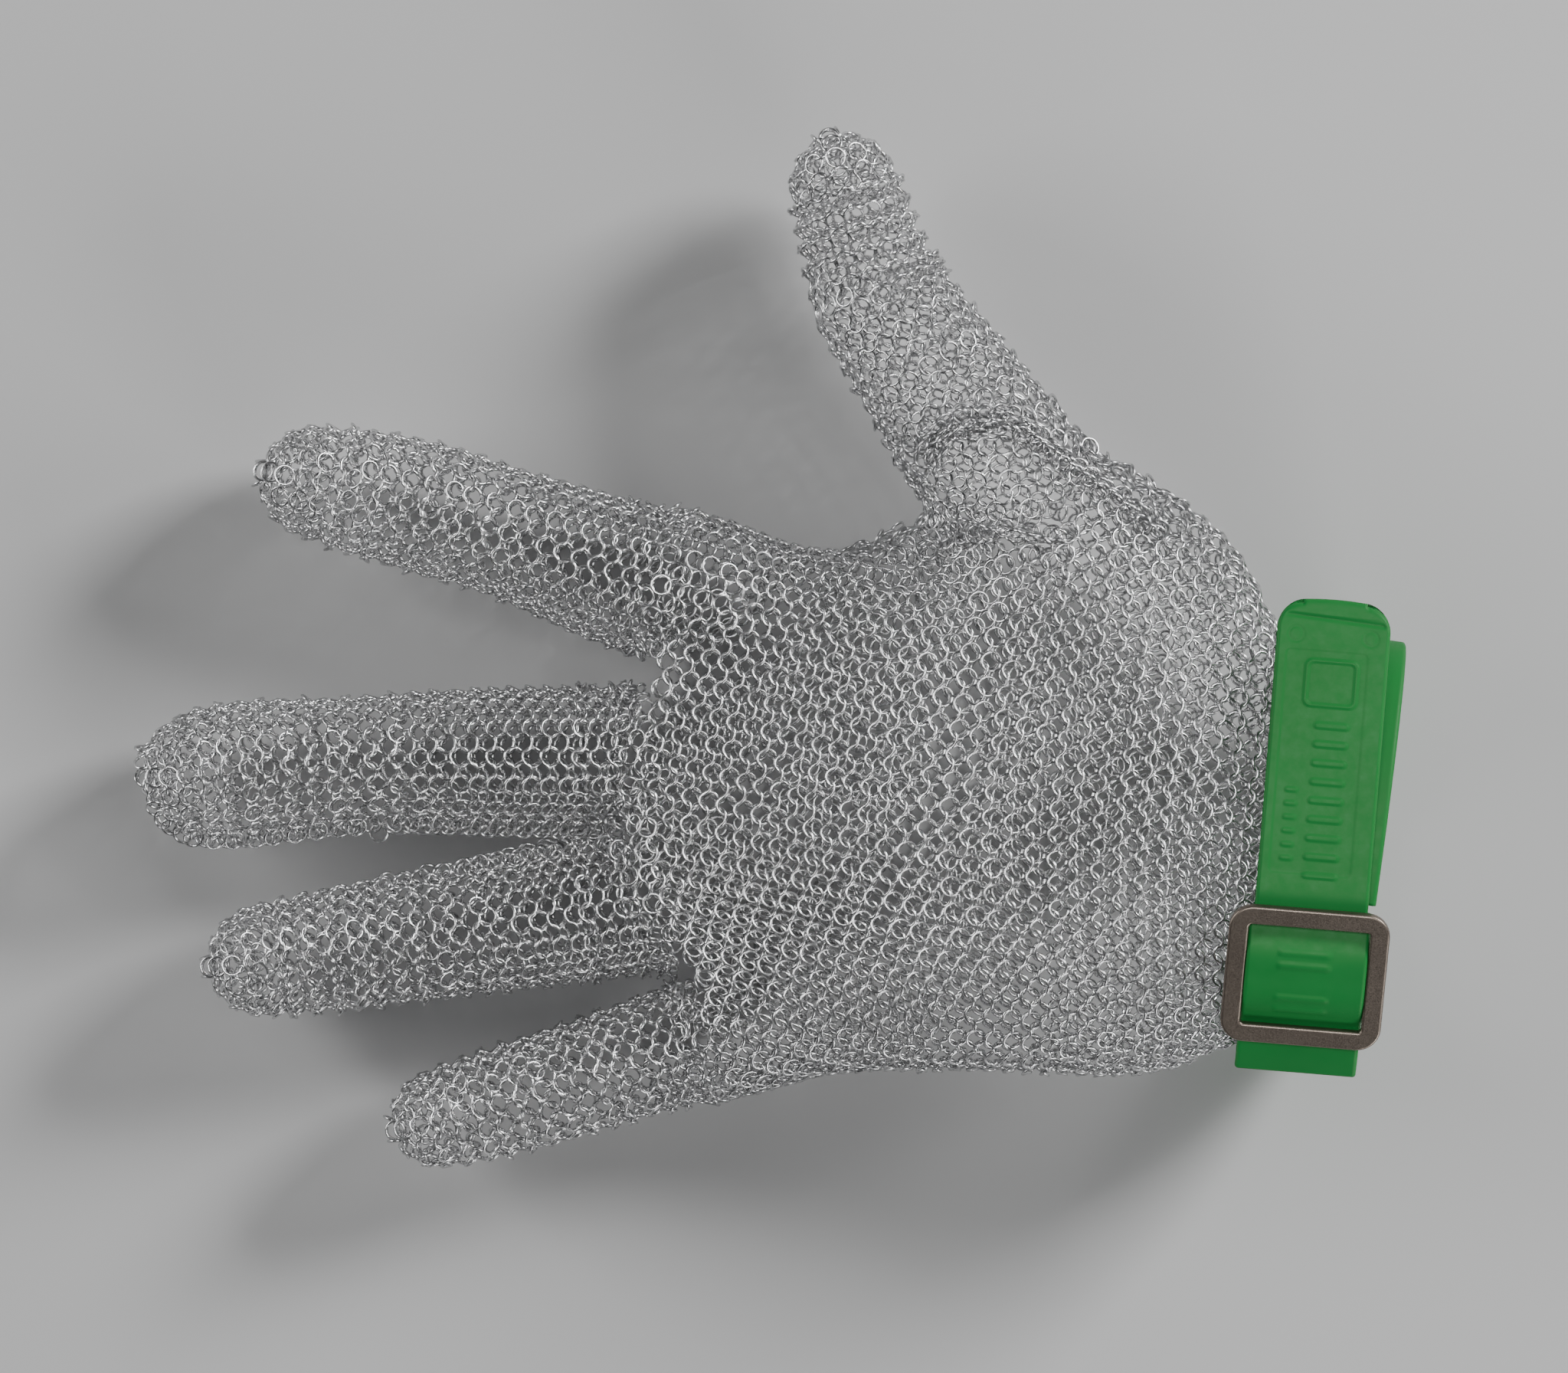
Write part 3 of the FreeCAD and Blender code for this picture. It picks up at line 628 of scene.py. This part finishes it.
def ring_template():
    """One ring about Z: its points, its faces and their places in the ring's square of the texture."""
    turn = np.arange(RING_STEPS) * 2 * math.pi / RING_STEPS
    round_wire = (np.arange(WIRE_STEPS) + 0.5) * 2 * math.pi / WIRE_STEPS
    t, w = np.meshgrid(turn, round_wire, indexing="ij")
    reach = RING_RADIUS + WIRE_RADIUS * np.cos(w)
    points = np.stack([reach * np.cos(t), reach * np.sin(t), WIRE_RADIUS * np.sin(w)], -1).reshape(-1, 3)
    faces, corners = [], []
    for i in range(RING_STEPS):
        for k in range(WIRE_STEPS):
            j, m = (i + 1) % RING_STEPS, (k + 1) % WIRE_STEPS
            faces.append([i * WIRE_STEPS + k, j * WIRE_STEPS + k, j * WIRE_STEPS + m, i * WIRE_STEPS + m])
            corners.append([(i, k), (i + 1, k), (i + 1, k + 1), (i, k + 1)])
    steps = np.array([RING_STEPS, WIRE_STEPS])
    return points, np.array(faces), np.array(corners) / steps


TEMPLATE = ring_template()


def ring_frames(weave, loose, rng):
    """Directions of each ring: along the row, across it, and the ring's own axis."""
    side = normalised(weave.along - (weave.along * weave.normal).sum(1)[:, None] * weave.normal)
    length = np.cross(side, weave.normal)
    # always towards the wrist, so that a row leans one way all round
    length = length * np.sign(length[:, :1] + 1e-9)
    reach = np.clip(RING_RADIUS ** 2 - ((weave.shift + 2 * WIRE_RADIUS) / 2) ** 2, 0.25, None)
    lean = np.arccos(np.clip(weave.gap / 2 / np.sqrt(reach), *LEAN_COSINES))
    parity = np.where(weave.row % 2 == 0, -1.0, 1.0)
    stray = TURN_STRAY[0] + TURN_STRAY[1] * loose
    lean = lean * parity + FLATTER + rng.normal(0, 1, len(lean)) * stray
    roll = rng.normal(0, 1, len(lean)) * stray
    axis = np.cos(lean)[:, None] * weave.normal + np.sin(lean)[:, None] * length
    axis = normalised(axis + roll[:, None] * side)
    first = normalised(side - (side * axis).sum(1)[:, None] * axis)
    return first, np.cross(axis, first), axis


def ring_mesh(name, centres, frames, shaded_tones, material):
    """One object of many rings, each with its own tone, darkened by painted shade at the crotches and
    creases, and its own square of the texture.
    """
    template, faces, corners = TEMPLATE
    first, second, axis = frames
    count = len(centres)
    basis = np.stack([first, second, axis], 1)
    points = centres[:, None] + np.einsum("pk,nkc->npc", template, basis)
    all_faces = (faces[None] + (np.arange(count) * len(template))[:, None, None]).reshape(-1, 4)
    mesh = bpy.data.meshes.new(name)
    mesh.vertices.add(count * len(template))
    mesh.vertices.foreach_set("co", (points.reshape(-1) * MM).astype(np.float32))
    mesh.loops.add(all_faces.size)
    mesh.loops.foreach_set("vertex_index", all_faces.reshape(-1).astype(np.int32))
    mesh.polygons.add(len(all_faces))
    mesh.polygons.foreach_set("loop_start", (np.arange(len(all_faces)) * 4).astype(np.int32))
    mesh.polygons.foreach_set("use_smooth", np.ones(len(all_faces), bool))
    cells = math.ceil(math.sqrt(count))
    cell = np.stack([np.arange(count) % cells, np.arange(count) // cells], 1)
    uv = (cell[:, None, None] + UV_MARGIN + (1 - 2 * UV_MARGIN) * corners[None]) / cells
    layer = mesh.uv_layers.new(name="OFBake")
    mesh.update(calc_edges=True)
    layer.data.foreach_set("uv", uv.reshape(-1).astype(np.float32))
    shaded_tone = mesh.attributes.new("ring_tone_and_shade", "FLOAT", "POINT")
    shaded_tone.data.foreach_set("value", np.repeat(shaded_tones, len(template)).astype(np.float32))
    mesh.materials.append(material)
    mesh.validate()
    piece = bpy.data.objects.new(name, mesh)
    bpy.context.scene.collection.objects.link(piece)
    return piece


def looseness(points):
    """How tangled the weave is, from 0 to 1: at the crotches and along the creases at the thumb's root."""
    amount = np.zeros(len(points))
    for centre, size in KNOTS:
        span = np.linalg.norm(points - np.array(centre, float), axis=1)
        amount = np.maximum(amount, 1 - smooth(span, size * 0.4, size * 1.6))
    for bends, rows in FOLDS.values():
        line = fold_line(bends, 0)[:, :2]
        span = np.linalg.norm(points[:, None, :2] - line[None], axis=2).min(1)
        fold = FOLD_LOOSE * (1 - smooth(span, 0.4 * rows * FOLD_GAP, 1.2 * rows * FOLD_GAP))
        amount = np.where(points[:, 2] > CREASE_LEVEL, np.maximum(amount, fold), amount)
    return amount


def fold_line(bends, level):
    """The middle of a fold, at a level above the sheet, with points half a ring pitch apart."""
    x = np.linspace(bends[0][0], bends[-1][0], 200)
    return resampled(np.stack([x, through(bends, x), np.full(200, float(level))], 1), FOLD_PITCH / 2)[0]


def fold_weave(bends, rows):
    """Rings bunched up and standing on edge along a fold."""
    middle = fold_line(bends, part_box("thumb_root_mesh")[1].z / MM)
    tangent = normalised(np.gradient(middle, axis=0))
    across = np.stack([-tangent[:, 1], tangent[:, 0], np.zeros(len(middle))], 1)
    offsets = (np.arange(rows) - (rows - 1) / 2) * FOLD_GAP
    weave = Weave([(middle + offset * across)[k % 2::2] for k, offset in enumerate(offsets)], wraps=False)
    weave.points = weave.points + FOLD_HEAP * weave.normal
    return weave


def ring_pieces(name, weave, material, rng):
    """Ring meshes of one weave, none of them over RINGS_PER_PIECE rings."""
    loose = looseness(weave.points)
    frames = ring_frames(weave, loose, rng)
    stray = PLACE_STRAY[0] + PLACE_STRAY[1] * loose
    centres = weave.points + rng.normal(0, 1, weave.points.shape) * stray[:, None]
    # no ring reaches below the surface that the glove lies on
    drop = np.sqrt(1 - np.clip(frames[2][:, 2] ** 2, 0, 1)) * RING_RADIUS + WIRE_RADIUS
    centres[:, 2] = np.maximum(centres[:, 2], drop)
    # painted shade: rings in the tangles at the crotches and along the creases are made darker
    shaded_tones = rng.uniform(*TONES, len(centres)) - CREASE_PAINTED_SHADE * loose
    parts = math.ceil(len(centres) / RINGS_PER_PIECE)
    pieces = []
    for k, chosen in enumerate(np.array_split(np.arange(len(centres)), parts)):
        label = name if parts == 1 else name + "_" + "abcdefgh"[k]
        pieces.append(ring_mesh(label, centres[chosen], [f[chosen] for f in frames], shaded_tones[chosen], material))
    return pieces


def build_mesh(steel):
    """All the rings, piece by piece: the palm's two sides, each digit's two lengths, and the folds."""
    rng = np.random.default_rng(SEED)
    palm = Weave(palm_rows(), wraps=False)
    palm = palm.part(owned(palm, "palm"))
    front = palm.points[:, 2] >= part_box("palm_front_mesh")[0].z / MM
    sides = [("palm_front_rings", front, ("palm_front_mesh", "heel_front_mesh", "thumb_root_mesh")),
             ("palm_back_rings", ~front, ("palm_back_mesh", "heel_back_mesh", "cuff_mesh"))]
    for name, mask, nodes in sides:
        pieces = ring_pieces(name, palm.part(mask), steel, rng)
        for piece in pieces:
            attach(piece, "hand")
        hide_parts(*nodes)
    for name in DIGITS:
        weave = Weave(digit_rows(name), wraps=True)
        weave = weave.part(owned(weave, name))
        base, middle = LINES[name]["base"], LINES[name]["middle"]
        along = normalised(middle - base)
        reach = (weave.points - base) @ along
        half_way = np.linalg.norm(middle - base) / 2
        for part, mask in (("base", reach < half_way), ("end", reach >= half_way)):
            piece = ring_pieces(name + "_" + part + "_rings", weave.part(mask), steel, rng)[0]
            if part == "base":
                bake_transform(piece)
                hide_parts(name + "_base_knuckle", name + "_lower_mesh")
            else:
                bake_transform(piece)
                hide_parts(name + "_middle_knuckle", name + "_upper_mesh")
    base = LINES["thumb"]["base"]
    along = normalised(LINES["thumb"]["middle"] - base)
    for name, (bends, rows) in FOLDS.items():
        piece = ring_pieces(name, fold_weave(bends, rows), steel, rng)[0]
        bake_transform(piece)


# ---- strap and buckle -----------------------------------------------------------------------------------

class Wrist:
    """The strap's own axes: x across the strap, y up the wrist and z out of its palm side."""

    def __init__(self):
        low, high = (np.array(corner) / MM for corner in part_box("strap_band"))
        lean = math.radians(WRIST_LEAN)
        half_y, half_z = ((high - low) / 2)[1:]
        self.centre = (low + high) / 2
        self.half_height = (half_y - STRAP_WIDTH / 2 * math.sin(lean)) / math.cos(lean)
        self.half_depth = half_z
        ratio = self.half_depth / self.half_height
        seat_z = ratio * math.sqrt(self.half_height ** 2 - BUCKLE_SEAT ** 2)
        self.tilt = math.atan2(-ratio ** 2 * BUCKLE_SEAT, seat_z)
        self.up = np.array([0, math.cos(self.tilt), math.sin(self.tilt)])
        self.out = np.array([0, -math.sin(self.tilt), math.cos(self.tilt)])
        self.buckle = np.array([BUCKLE_SHIFT, BUCKLE_SEAT, seat_z]) + BUCKLE_LIFT * self.out

    def world(self, points, lean=None):
        """CAD-frame points from the strap's axes, turned a little further about the buckle if it leans."""
        if lean is None:
            return self.turned(points, WRIST_LEAN) + self.centre
        pivot = self.buckle * (1, 1, 0)
        return self.turned(points - pivot, lean) + self.turned(pivot, WRIST_LEAN) + self.centre

    @staticmethod
    def turned(points, lean):
        c, s = math.cos(math.radians(lean)), math.sin(math.radians(lean))
        return np.asarray(points) @ np.array([[c, -s, 0], [s, c, 0], [0, 0, 1]])

    def on_plane(self, p, n):
        """Points of the buckle's plane: p up the strap and n out of it."""
        return self.buckle + np.multiply.outer(p, self.up) + np.multiply.outer(n, self.out)


def resampled(points, spacing):
    """Points at even spacing along a line, with the distance to each."""
    reach = np.concatenate([[0], np.cumsum(np.linalg.norm(np.diff(points, axis=0), axis=1))])
    stations = np.linspace(0, reach[-1], max(2, round(reach[-1] / spacing) + 1))
    return np.stack([np.interp(stations, reach, points[:, axis]) for axis in range(3)], 1), stations


def closed_skin(name, upper, lower, material):
    """Closed mesh between two grids of points with the same outline."""
    rows, columns = upper.shape[:2]
    points = np.concatenate([upper.reshape(-1, 3), lower.reshape(-1, 3)])
    index = np.arange(rows * columns).reshape(rows, columns)
    under = index + rows * columns
    faces = []
    for grid, flip in ((index, False), (under, True)):
        quads = np.stack([grid[:-1, :-1], grid[:-1, 1:], grid[1:, 1:], grid[1:, :-1]], -1).reshape(-1, 4)
        faces += (quads[:, ::-1] if not flip else quads).tolist()
    rim = np.concatenate([index[0, :-1], index[:-1, -1], index[-1, :0:-1], index[:0:-1, 0]])
    rim_under = rim + rows * columns
    faces += np.stack([rim, np.roll(rim, -1), np.roll(rim_under, -1), rim_under], 1).tolist()
    piece = mesh_object(name, points, faces, material)
    recalculated = bmesh.new()
    recalculated.from_mesh(piece.data)
    bmesh.ops.recalc_face_normals(recalculated, faces=recalculated.faces)
    recalculated.to_mesh(piece.data)
    recalculated.free()
    return piece


def strap_strip(name, line, half_width, relief, lean, wrist, material, spacing, tip=None):
    """A length of strap: soft-edged, of even thickness, with relief in its outer face."""
    middle, stations = resampled(line, spacing)
    tangent = normalised(np.gradient(middle, axis=0))
    out = np.stack([np.zeros(len(middle)), -tangent[:, 2], tangent[:, 1]], 1)
    columns = max(8, round(2 * half_width / spacing))
    v = np.sin(np.linspace(-math.pi / 2, math.pi / 2, columns + 1) * 0.96) / math.sin(0.48 * math.pi)
    q = v * half_width
    end = np.full(len(q), stations[-1])
    if tip is not None:
        end = end - tip(np.abs(q))
    along = np.linspace(0, 1, len(stations))[:, None] * end[None]
    q = np.broadcast_to(q, along.shape)
    from_edge = half_width - np.abs(q)
    if tip is not None:
        inner = half_width - TIP_CORNER
        past = stations[-1] - TIP_CROWN - TIP_CORNER
        over = np.abs(q) - inner
        ahead = along - past
        corner = TIP_CORNER - np.hypot(np.maximum(over, 0), np.maximum(ahead, 0))
        from_edge = np.minimum(from_edge, end[None] - along)
        rounded = np.minimum(np.maximum(corner, 0), from_edge)
        from_edge = np.where((over > 0) & (ahead > 0), rounded, from_edge)
    fall = np.clip(1 - from_edge / STRAP_EDGE, 0, 1)
    thick = STRAP_THICK / 2 * np.sqrt(1 - fall ** 2)
    at = [np.interp(along, stations, middle[:, axis]) for axis in range(3)]
    way = [np.interp(along, stations, out[:, axis]) for axis in range(3)]
    at, way = np.stack(at, -1), np.stack(way, -1)
    at[..., 0] += q
    raised = thick + relief(along, q) * smooth(from_edge, 0.3, 1.2)
    upper = wrist.world(at + raised[..., None] * way, lean)
    lower = wrist.world(at - thick[..., None] * way, lean)
    return closed_skin(name, upper, lower, material)


def step_up(distance, height, soft=0.35):
    """Height of a moulded step where the distance is positive."""
    return height * smooth(distance, -soft / 2, soft / 2)


def round_box(s, q, centre, half, corner):
    """Distance inside a rounded rectangle on the strap's face."""
    over_s = np.abs(s - centre[0]) - half[0] + corner
    over_q = np.abs(q - centre[1]) - half[1] + corner
    outside = np.hypot(np.maximum(over_s, 0), np.maximum(over_q, 0))
    return corner - outside - np.minimum(np.maximum(over_s, over_q), 0)


def tongue_relief(length):
    """Moulded face of the free end: tip line, sunk panel, plain raised frame and grip ribs."""
    def relief(s, q):
        tip = length - TIP_LINE
        height = -0.28 * np.exp(-((s - tip + 0.06 * q) / 0.32) ** 2) + step_up(s - tip - 0.4, 0.1)
        height = height - step_up(round_box(s, q, (length * 0.47, -0.9), (length * 0.36, 7.2), 0.8), 0.1)
        outer = round_box(s, q, (length - 15.0, 0.2), (4.2, 4.7), 1.3)
        inner = round_box(s, q, (length - 15.0, 0.2), (3.6, 4.1), 0.9)
        height = height + step_up(outer, 0.22) - step_up(inner, 0.22)
        for k in range(9):
            place = length - 22.4 - 3.3 * k
            height = height + step_up(round_box(s, q, (place, 0.9), (0.55, 3.0), 0.5), 0.2)
        for k in range(6):
            place = length - 34.0 - 2.4 * k
            height = height + step_up(round_box(s, q, (place, -5.3), (0.4, 1.1), 0.35), 0.16)
        for side in (-1, 1):
            ring = np.hypot(s - (length - 6.6), q - side * 6.6)
            height = height - 0.1 * np.exp(-((ring - 1.3) / 0.22) ** 2)
        return height
    return relief


def window_relief(s, q):
    """Two pairs of plain bars on the strap where the buckle's window shows it."""
    middle = s - (BUCKLE_LENGTH / 2 + RUN_TAIL)
    bars = [round_box(middle, q, (place, -0.5), (0.5, 4.6), 0.45) for place in (-5.2, -3.0, 3.0, 5.2)]
    return sum(step_up(bar, 0.18) for bar in bars)


def plain_face(s, q):
    return np.zeros_like(s)


def tongue_tip(across):
    """How far the free end's outline falls back from its tip: a crown and rounded corners."""
    half = TONGUE_WIDTH / 2
    crown = TIP_CROWN * (across / half) ** 2
    into_corner = np.maximum(across - half + TIP_CORNER, 0)
    return crown + TIP_CORNER - np.sqrt(np.clip(TIP_CORNER ** 2 - into_corner ** 2, 0, None))


def build_band(wrist, green):
    """The band round the wrist, open under the buckle."""
    turn = np.linspace(0, 2 * math.pi, 1441)
    oval = np.stack([0 * turn, wrist.half_height * np.cos(turn), wrist.half_depth * np.sin(turn)], 1)
    outward = normalised(oval / (1, wrist.half_height ** 2, wrist.half_depth ** 2))
    ring = oval - STRAP_THICK / 2 * outward
    up = (ring - wrist.buckle) @ wrist.up
    gap = (np.abs(up) < BUCKLE_LENGTH / 2 + STRAP_GAP) & (ring[:, 2] > 0)
    first = np.flatnonzero(gap)[-1] + 1
    line = np.roll(ring[:-1], -first, axis=0)[:np.count_nonzero(~gap[:-1])]
    band = strap_strip("strap_band_visual", line[::-1], STRAP_WIDTH / 2, plain_face, None, wrist, green,
                       BAND_GRID)
    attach(band, "hand")
    return band


def build_run(wrist, green):
    """The run from the band, under the buckle's lower bar, over its centre bar and under its top bar."""
    low, high = RUN_LOW - STRAP_THICK / 2, RUN_HIGH - STRAP_THICK / 2
    end, inside = BUCKLE_LENGTH / 2, BUCKLE_LENGTH / 2 - BUCKLE_BAR
    shoulder = high - RUN_SHOULDER_DROP
    levels = [(-end - RUN_TAIL, low - RUN_TAIL_DROPS[1]), (-end - RUN_TAIL / 2, low - RUN_TAIL_DROPS[0]),
              (-end, low), (-inside, low), (-RUN_SHOULDER, shoulder), (0.0, high), (RUN_SHOULDER, shoulder),
              (inside, low), (end - RUN_END, low)]
    p = np.linspace(levels[0][0], levels[-1][0], 200)
    line = wrist.on_plane(p, through(levels, p))
    weave = strap_strip("strap_weave", line, RUN_WIDTH / 2, window_relief, BUCKLE_LEAN, wrist, green,
                        RUN_GRID)
    bend = wrist.on_plane(np.array([-end - RUN_TAIL + 0.5, -inside - 0.4]), np.zeros(2))
    ends = wrist.world(bend, BUCKLE_LEAN)
    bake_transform(weave)
    return weave


def build_tongue(wrist, green):
    """The free end, which comes out from under the buckle's top bar and lies on the band."""
    low = RUN_LOW - STRAP_THICK / 2
    places = (-TONGUE_START, 0, STRAP_GAP)
    start, edge, rise = (wrist.on_plane(BUCKLE_LENGTH / 2 + past, low) for past in places)
    level = TONGUE_LEVEL - STRAP_THICK / 2
    levels = [(start[1], start[2]), (rise[1], rise[2]), (edge[1] + TONGUE_RISE, level - TONGUE_DIP),
              (edge[1] + TONGUE_FLAT, level), (TONGUE_REACH - TONGUE_BEND, level - TONGUE_HALF_DROOP),
              (TONGUE_REACH, level - TONGUE_DROOP)]
    y = np.linspace(start[1], TONGUE_REACH, 400)
    line = np.stack([np.full(400, BUCKLE_SHIFT), y, through(levels, y)], 1)
    length = np.linalg.norm(np.diff(line, axis=0), axis=1).sum()
    tongue = strap_strip("strap_tongue", line, TONGUE_WIDTH / 2, tongue_relief(length), BUCKLE_LEAN, wrist,
                         green, TONGUE_GRID, tongue_tip)
    ends = wrist.world(line[[0, 60]], BUCKLE_LEAN)
    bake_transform(tongue)
    return tongue


def build_strap(wrist, green, satin):
    """The strap's three visible lengths, and the materials of the CAD parts round them."""
    band, weave, tongue = build_band(wrist, green), build_run(wrist, green), build_tongue(wrist, green)
    for piece, node in ((band, "strap_band"), (weave, "strap_buckle_run"), (tongue, "strap_free_end")):
        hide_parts(node)
    for node in ("strap_hooks", "strap_end_loop"):
        frame["nodes"][node].data.materials[0] = green
    for node in ("buckle_frame", "buckle_centre_bar"):
        frame["nodes"][node].data.materials[0] = satin


# ---- floor, light and camera --------------------------------------------------------------------------

def floor():
    """A pale floor just under the glove."""
    material, _, _, shader = new_material("floor_white")
    shader.inputs["Base Color"].default_value = (0.85, 0.85, 0.85, 1)
    shader.inputs["Roughness"].default_value = 0.9
    size = 3000.0
    corners = [(-size, -size, 0), (size, -size, 0), (size, size, 0), (-size, size, 0)]
    plane = mesh_object("floor", corners, [(0, 1, 2, 3)], material)
    plane.location.z = -0.0002


def area_light(name, place, target, size, power):
    data = bpy.data.lights.new(name, "AREA")
    data.shape = "RECTANGLE"
    data.size, data.size_y = size
    data.energy = power
    light = bpy.data.objects.new(name, data)
    light.location = place
    light.rotation_euler = (Vector(target) - Vector(place)).to_track_quat("-Z", "Y").to_euler()
    bpy.context.scene.collection.objects.link(light)
    return light


def studio():
    """Soft light: an overhead panel, which it gives back, a key from the thumb's side and two low fills."""
    world = bpy.data.worlds.new("studio")
    world.use_nodes = True
    background = world.node_tree.nodes["Background"]
    background.inputs[0].default_value = (0.85, 0.87, 0.9, 1)
    background.inputs[1].default_value = 0.04
    bpy.context.scene.world = world
    overhead = area_light("overhead", (0, 0.15, 2.6), (0, 0, 0), (0.9, 0.9), 40)
    area_light("key", (1.4, 0.9, 0.7), (0, 0, 0), (0.6, 0.5), 34)
    area_light("fill_left", (-1.5, 0.4, 0.5), (0, 0, 0), (0.9, 0.4), 13)
    area_light("fill_front", (0.95, -1.3, 0.5), (0, 0, 0), (0.9, 0.4), 13)
    return overhead


def only_on_the_glove(light):
    """Keeps a light off the floor, so that the floor seen through the mesh doesn't drown the rings."""
    glove = bpy.data.collections.new("glove")
    for thing in bpy.data.objects:
        if thing.type == "MESH" and thing.name != "floor":
            glove.objects.link(thing)
    light.light_linking.receiver_collection = glove


def camera():
    """A camera straight above, framed a little wider than the glove."""
    distance, width = 2.2, 0.2794
    data = bpy.data.cameras.new("camera")
    data.sensor_width = 36
    data.lens = data.sensor_width * distance / width
    view = bpy.data.objects.new("camera", data)
    view.location = (0.0018, -0.0062, 0.018 + distance)
    bpy.context.scene.collection.objects.link(view)
    bpy.context.scene.camera = view


# ---- everything ---------------------------------------------------------------------------------------

camera()
overhead = studio()
floor()
build_mesh(ring_steel())
satin = satin_steel("buckle_satin", (0.17, 0.14, 0.118), (0.29, 0.245, 0.205), 0.42)
build_strap(Wrist(), strap_polymer(), satin)
edge_steel = satin_steel("edge_wire_steel", (0.3, 0.3, 0.3), (0.5, 0.5, 0.5), 0.25)
frame["nodes"]["cuff_edge_wire"].data.materials[0] = edge_steel
only_on_the_glove(overhead)
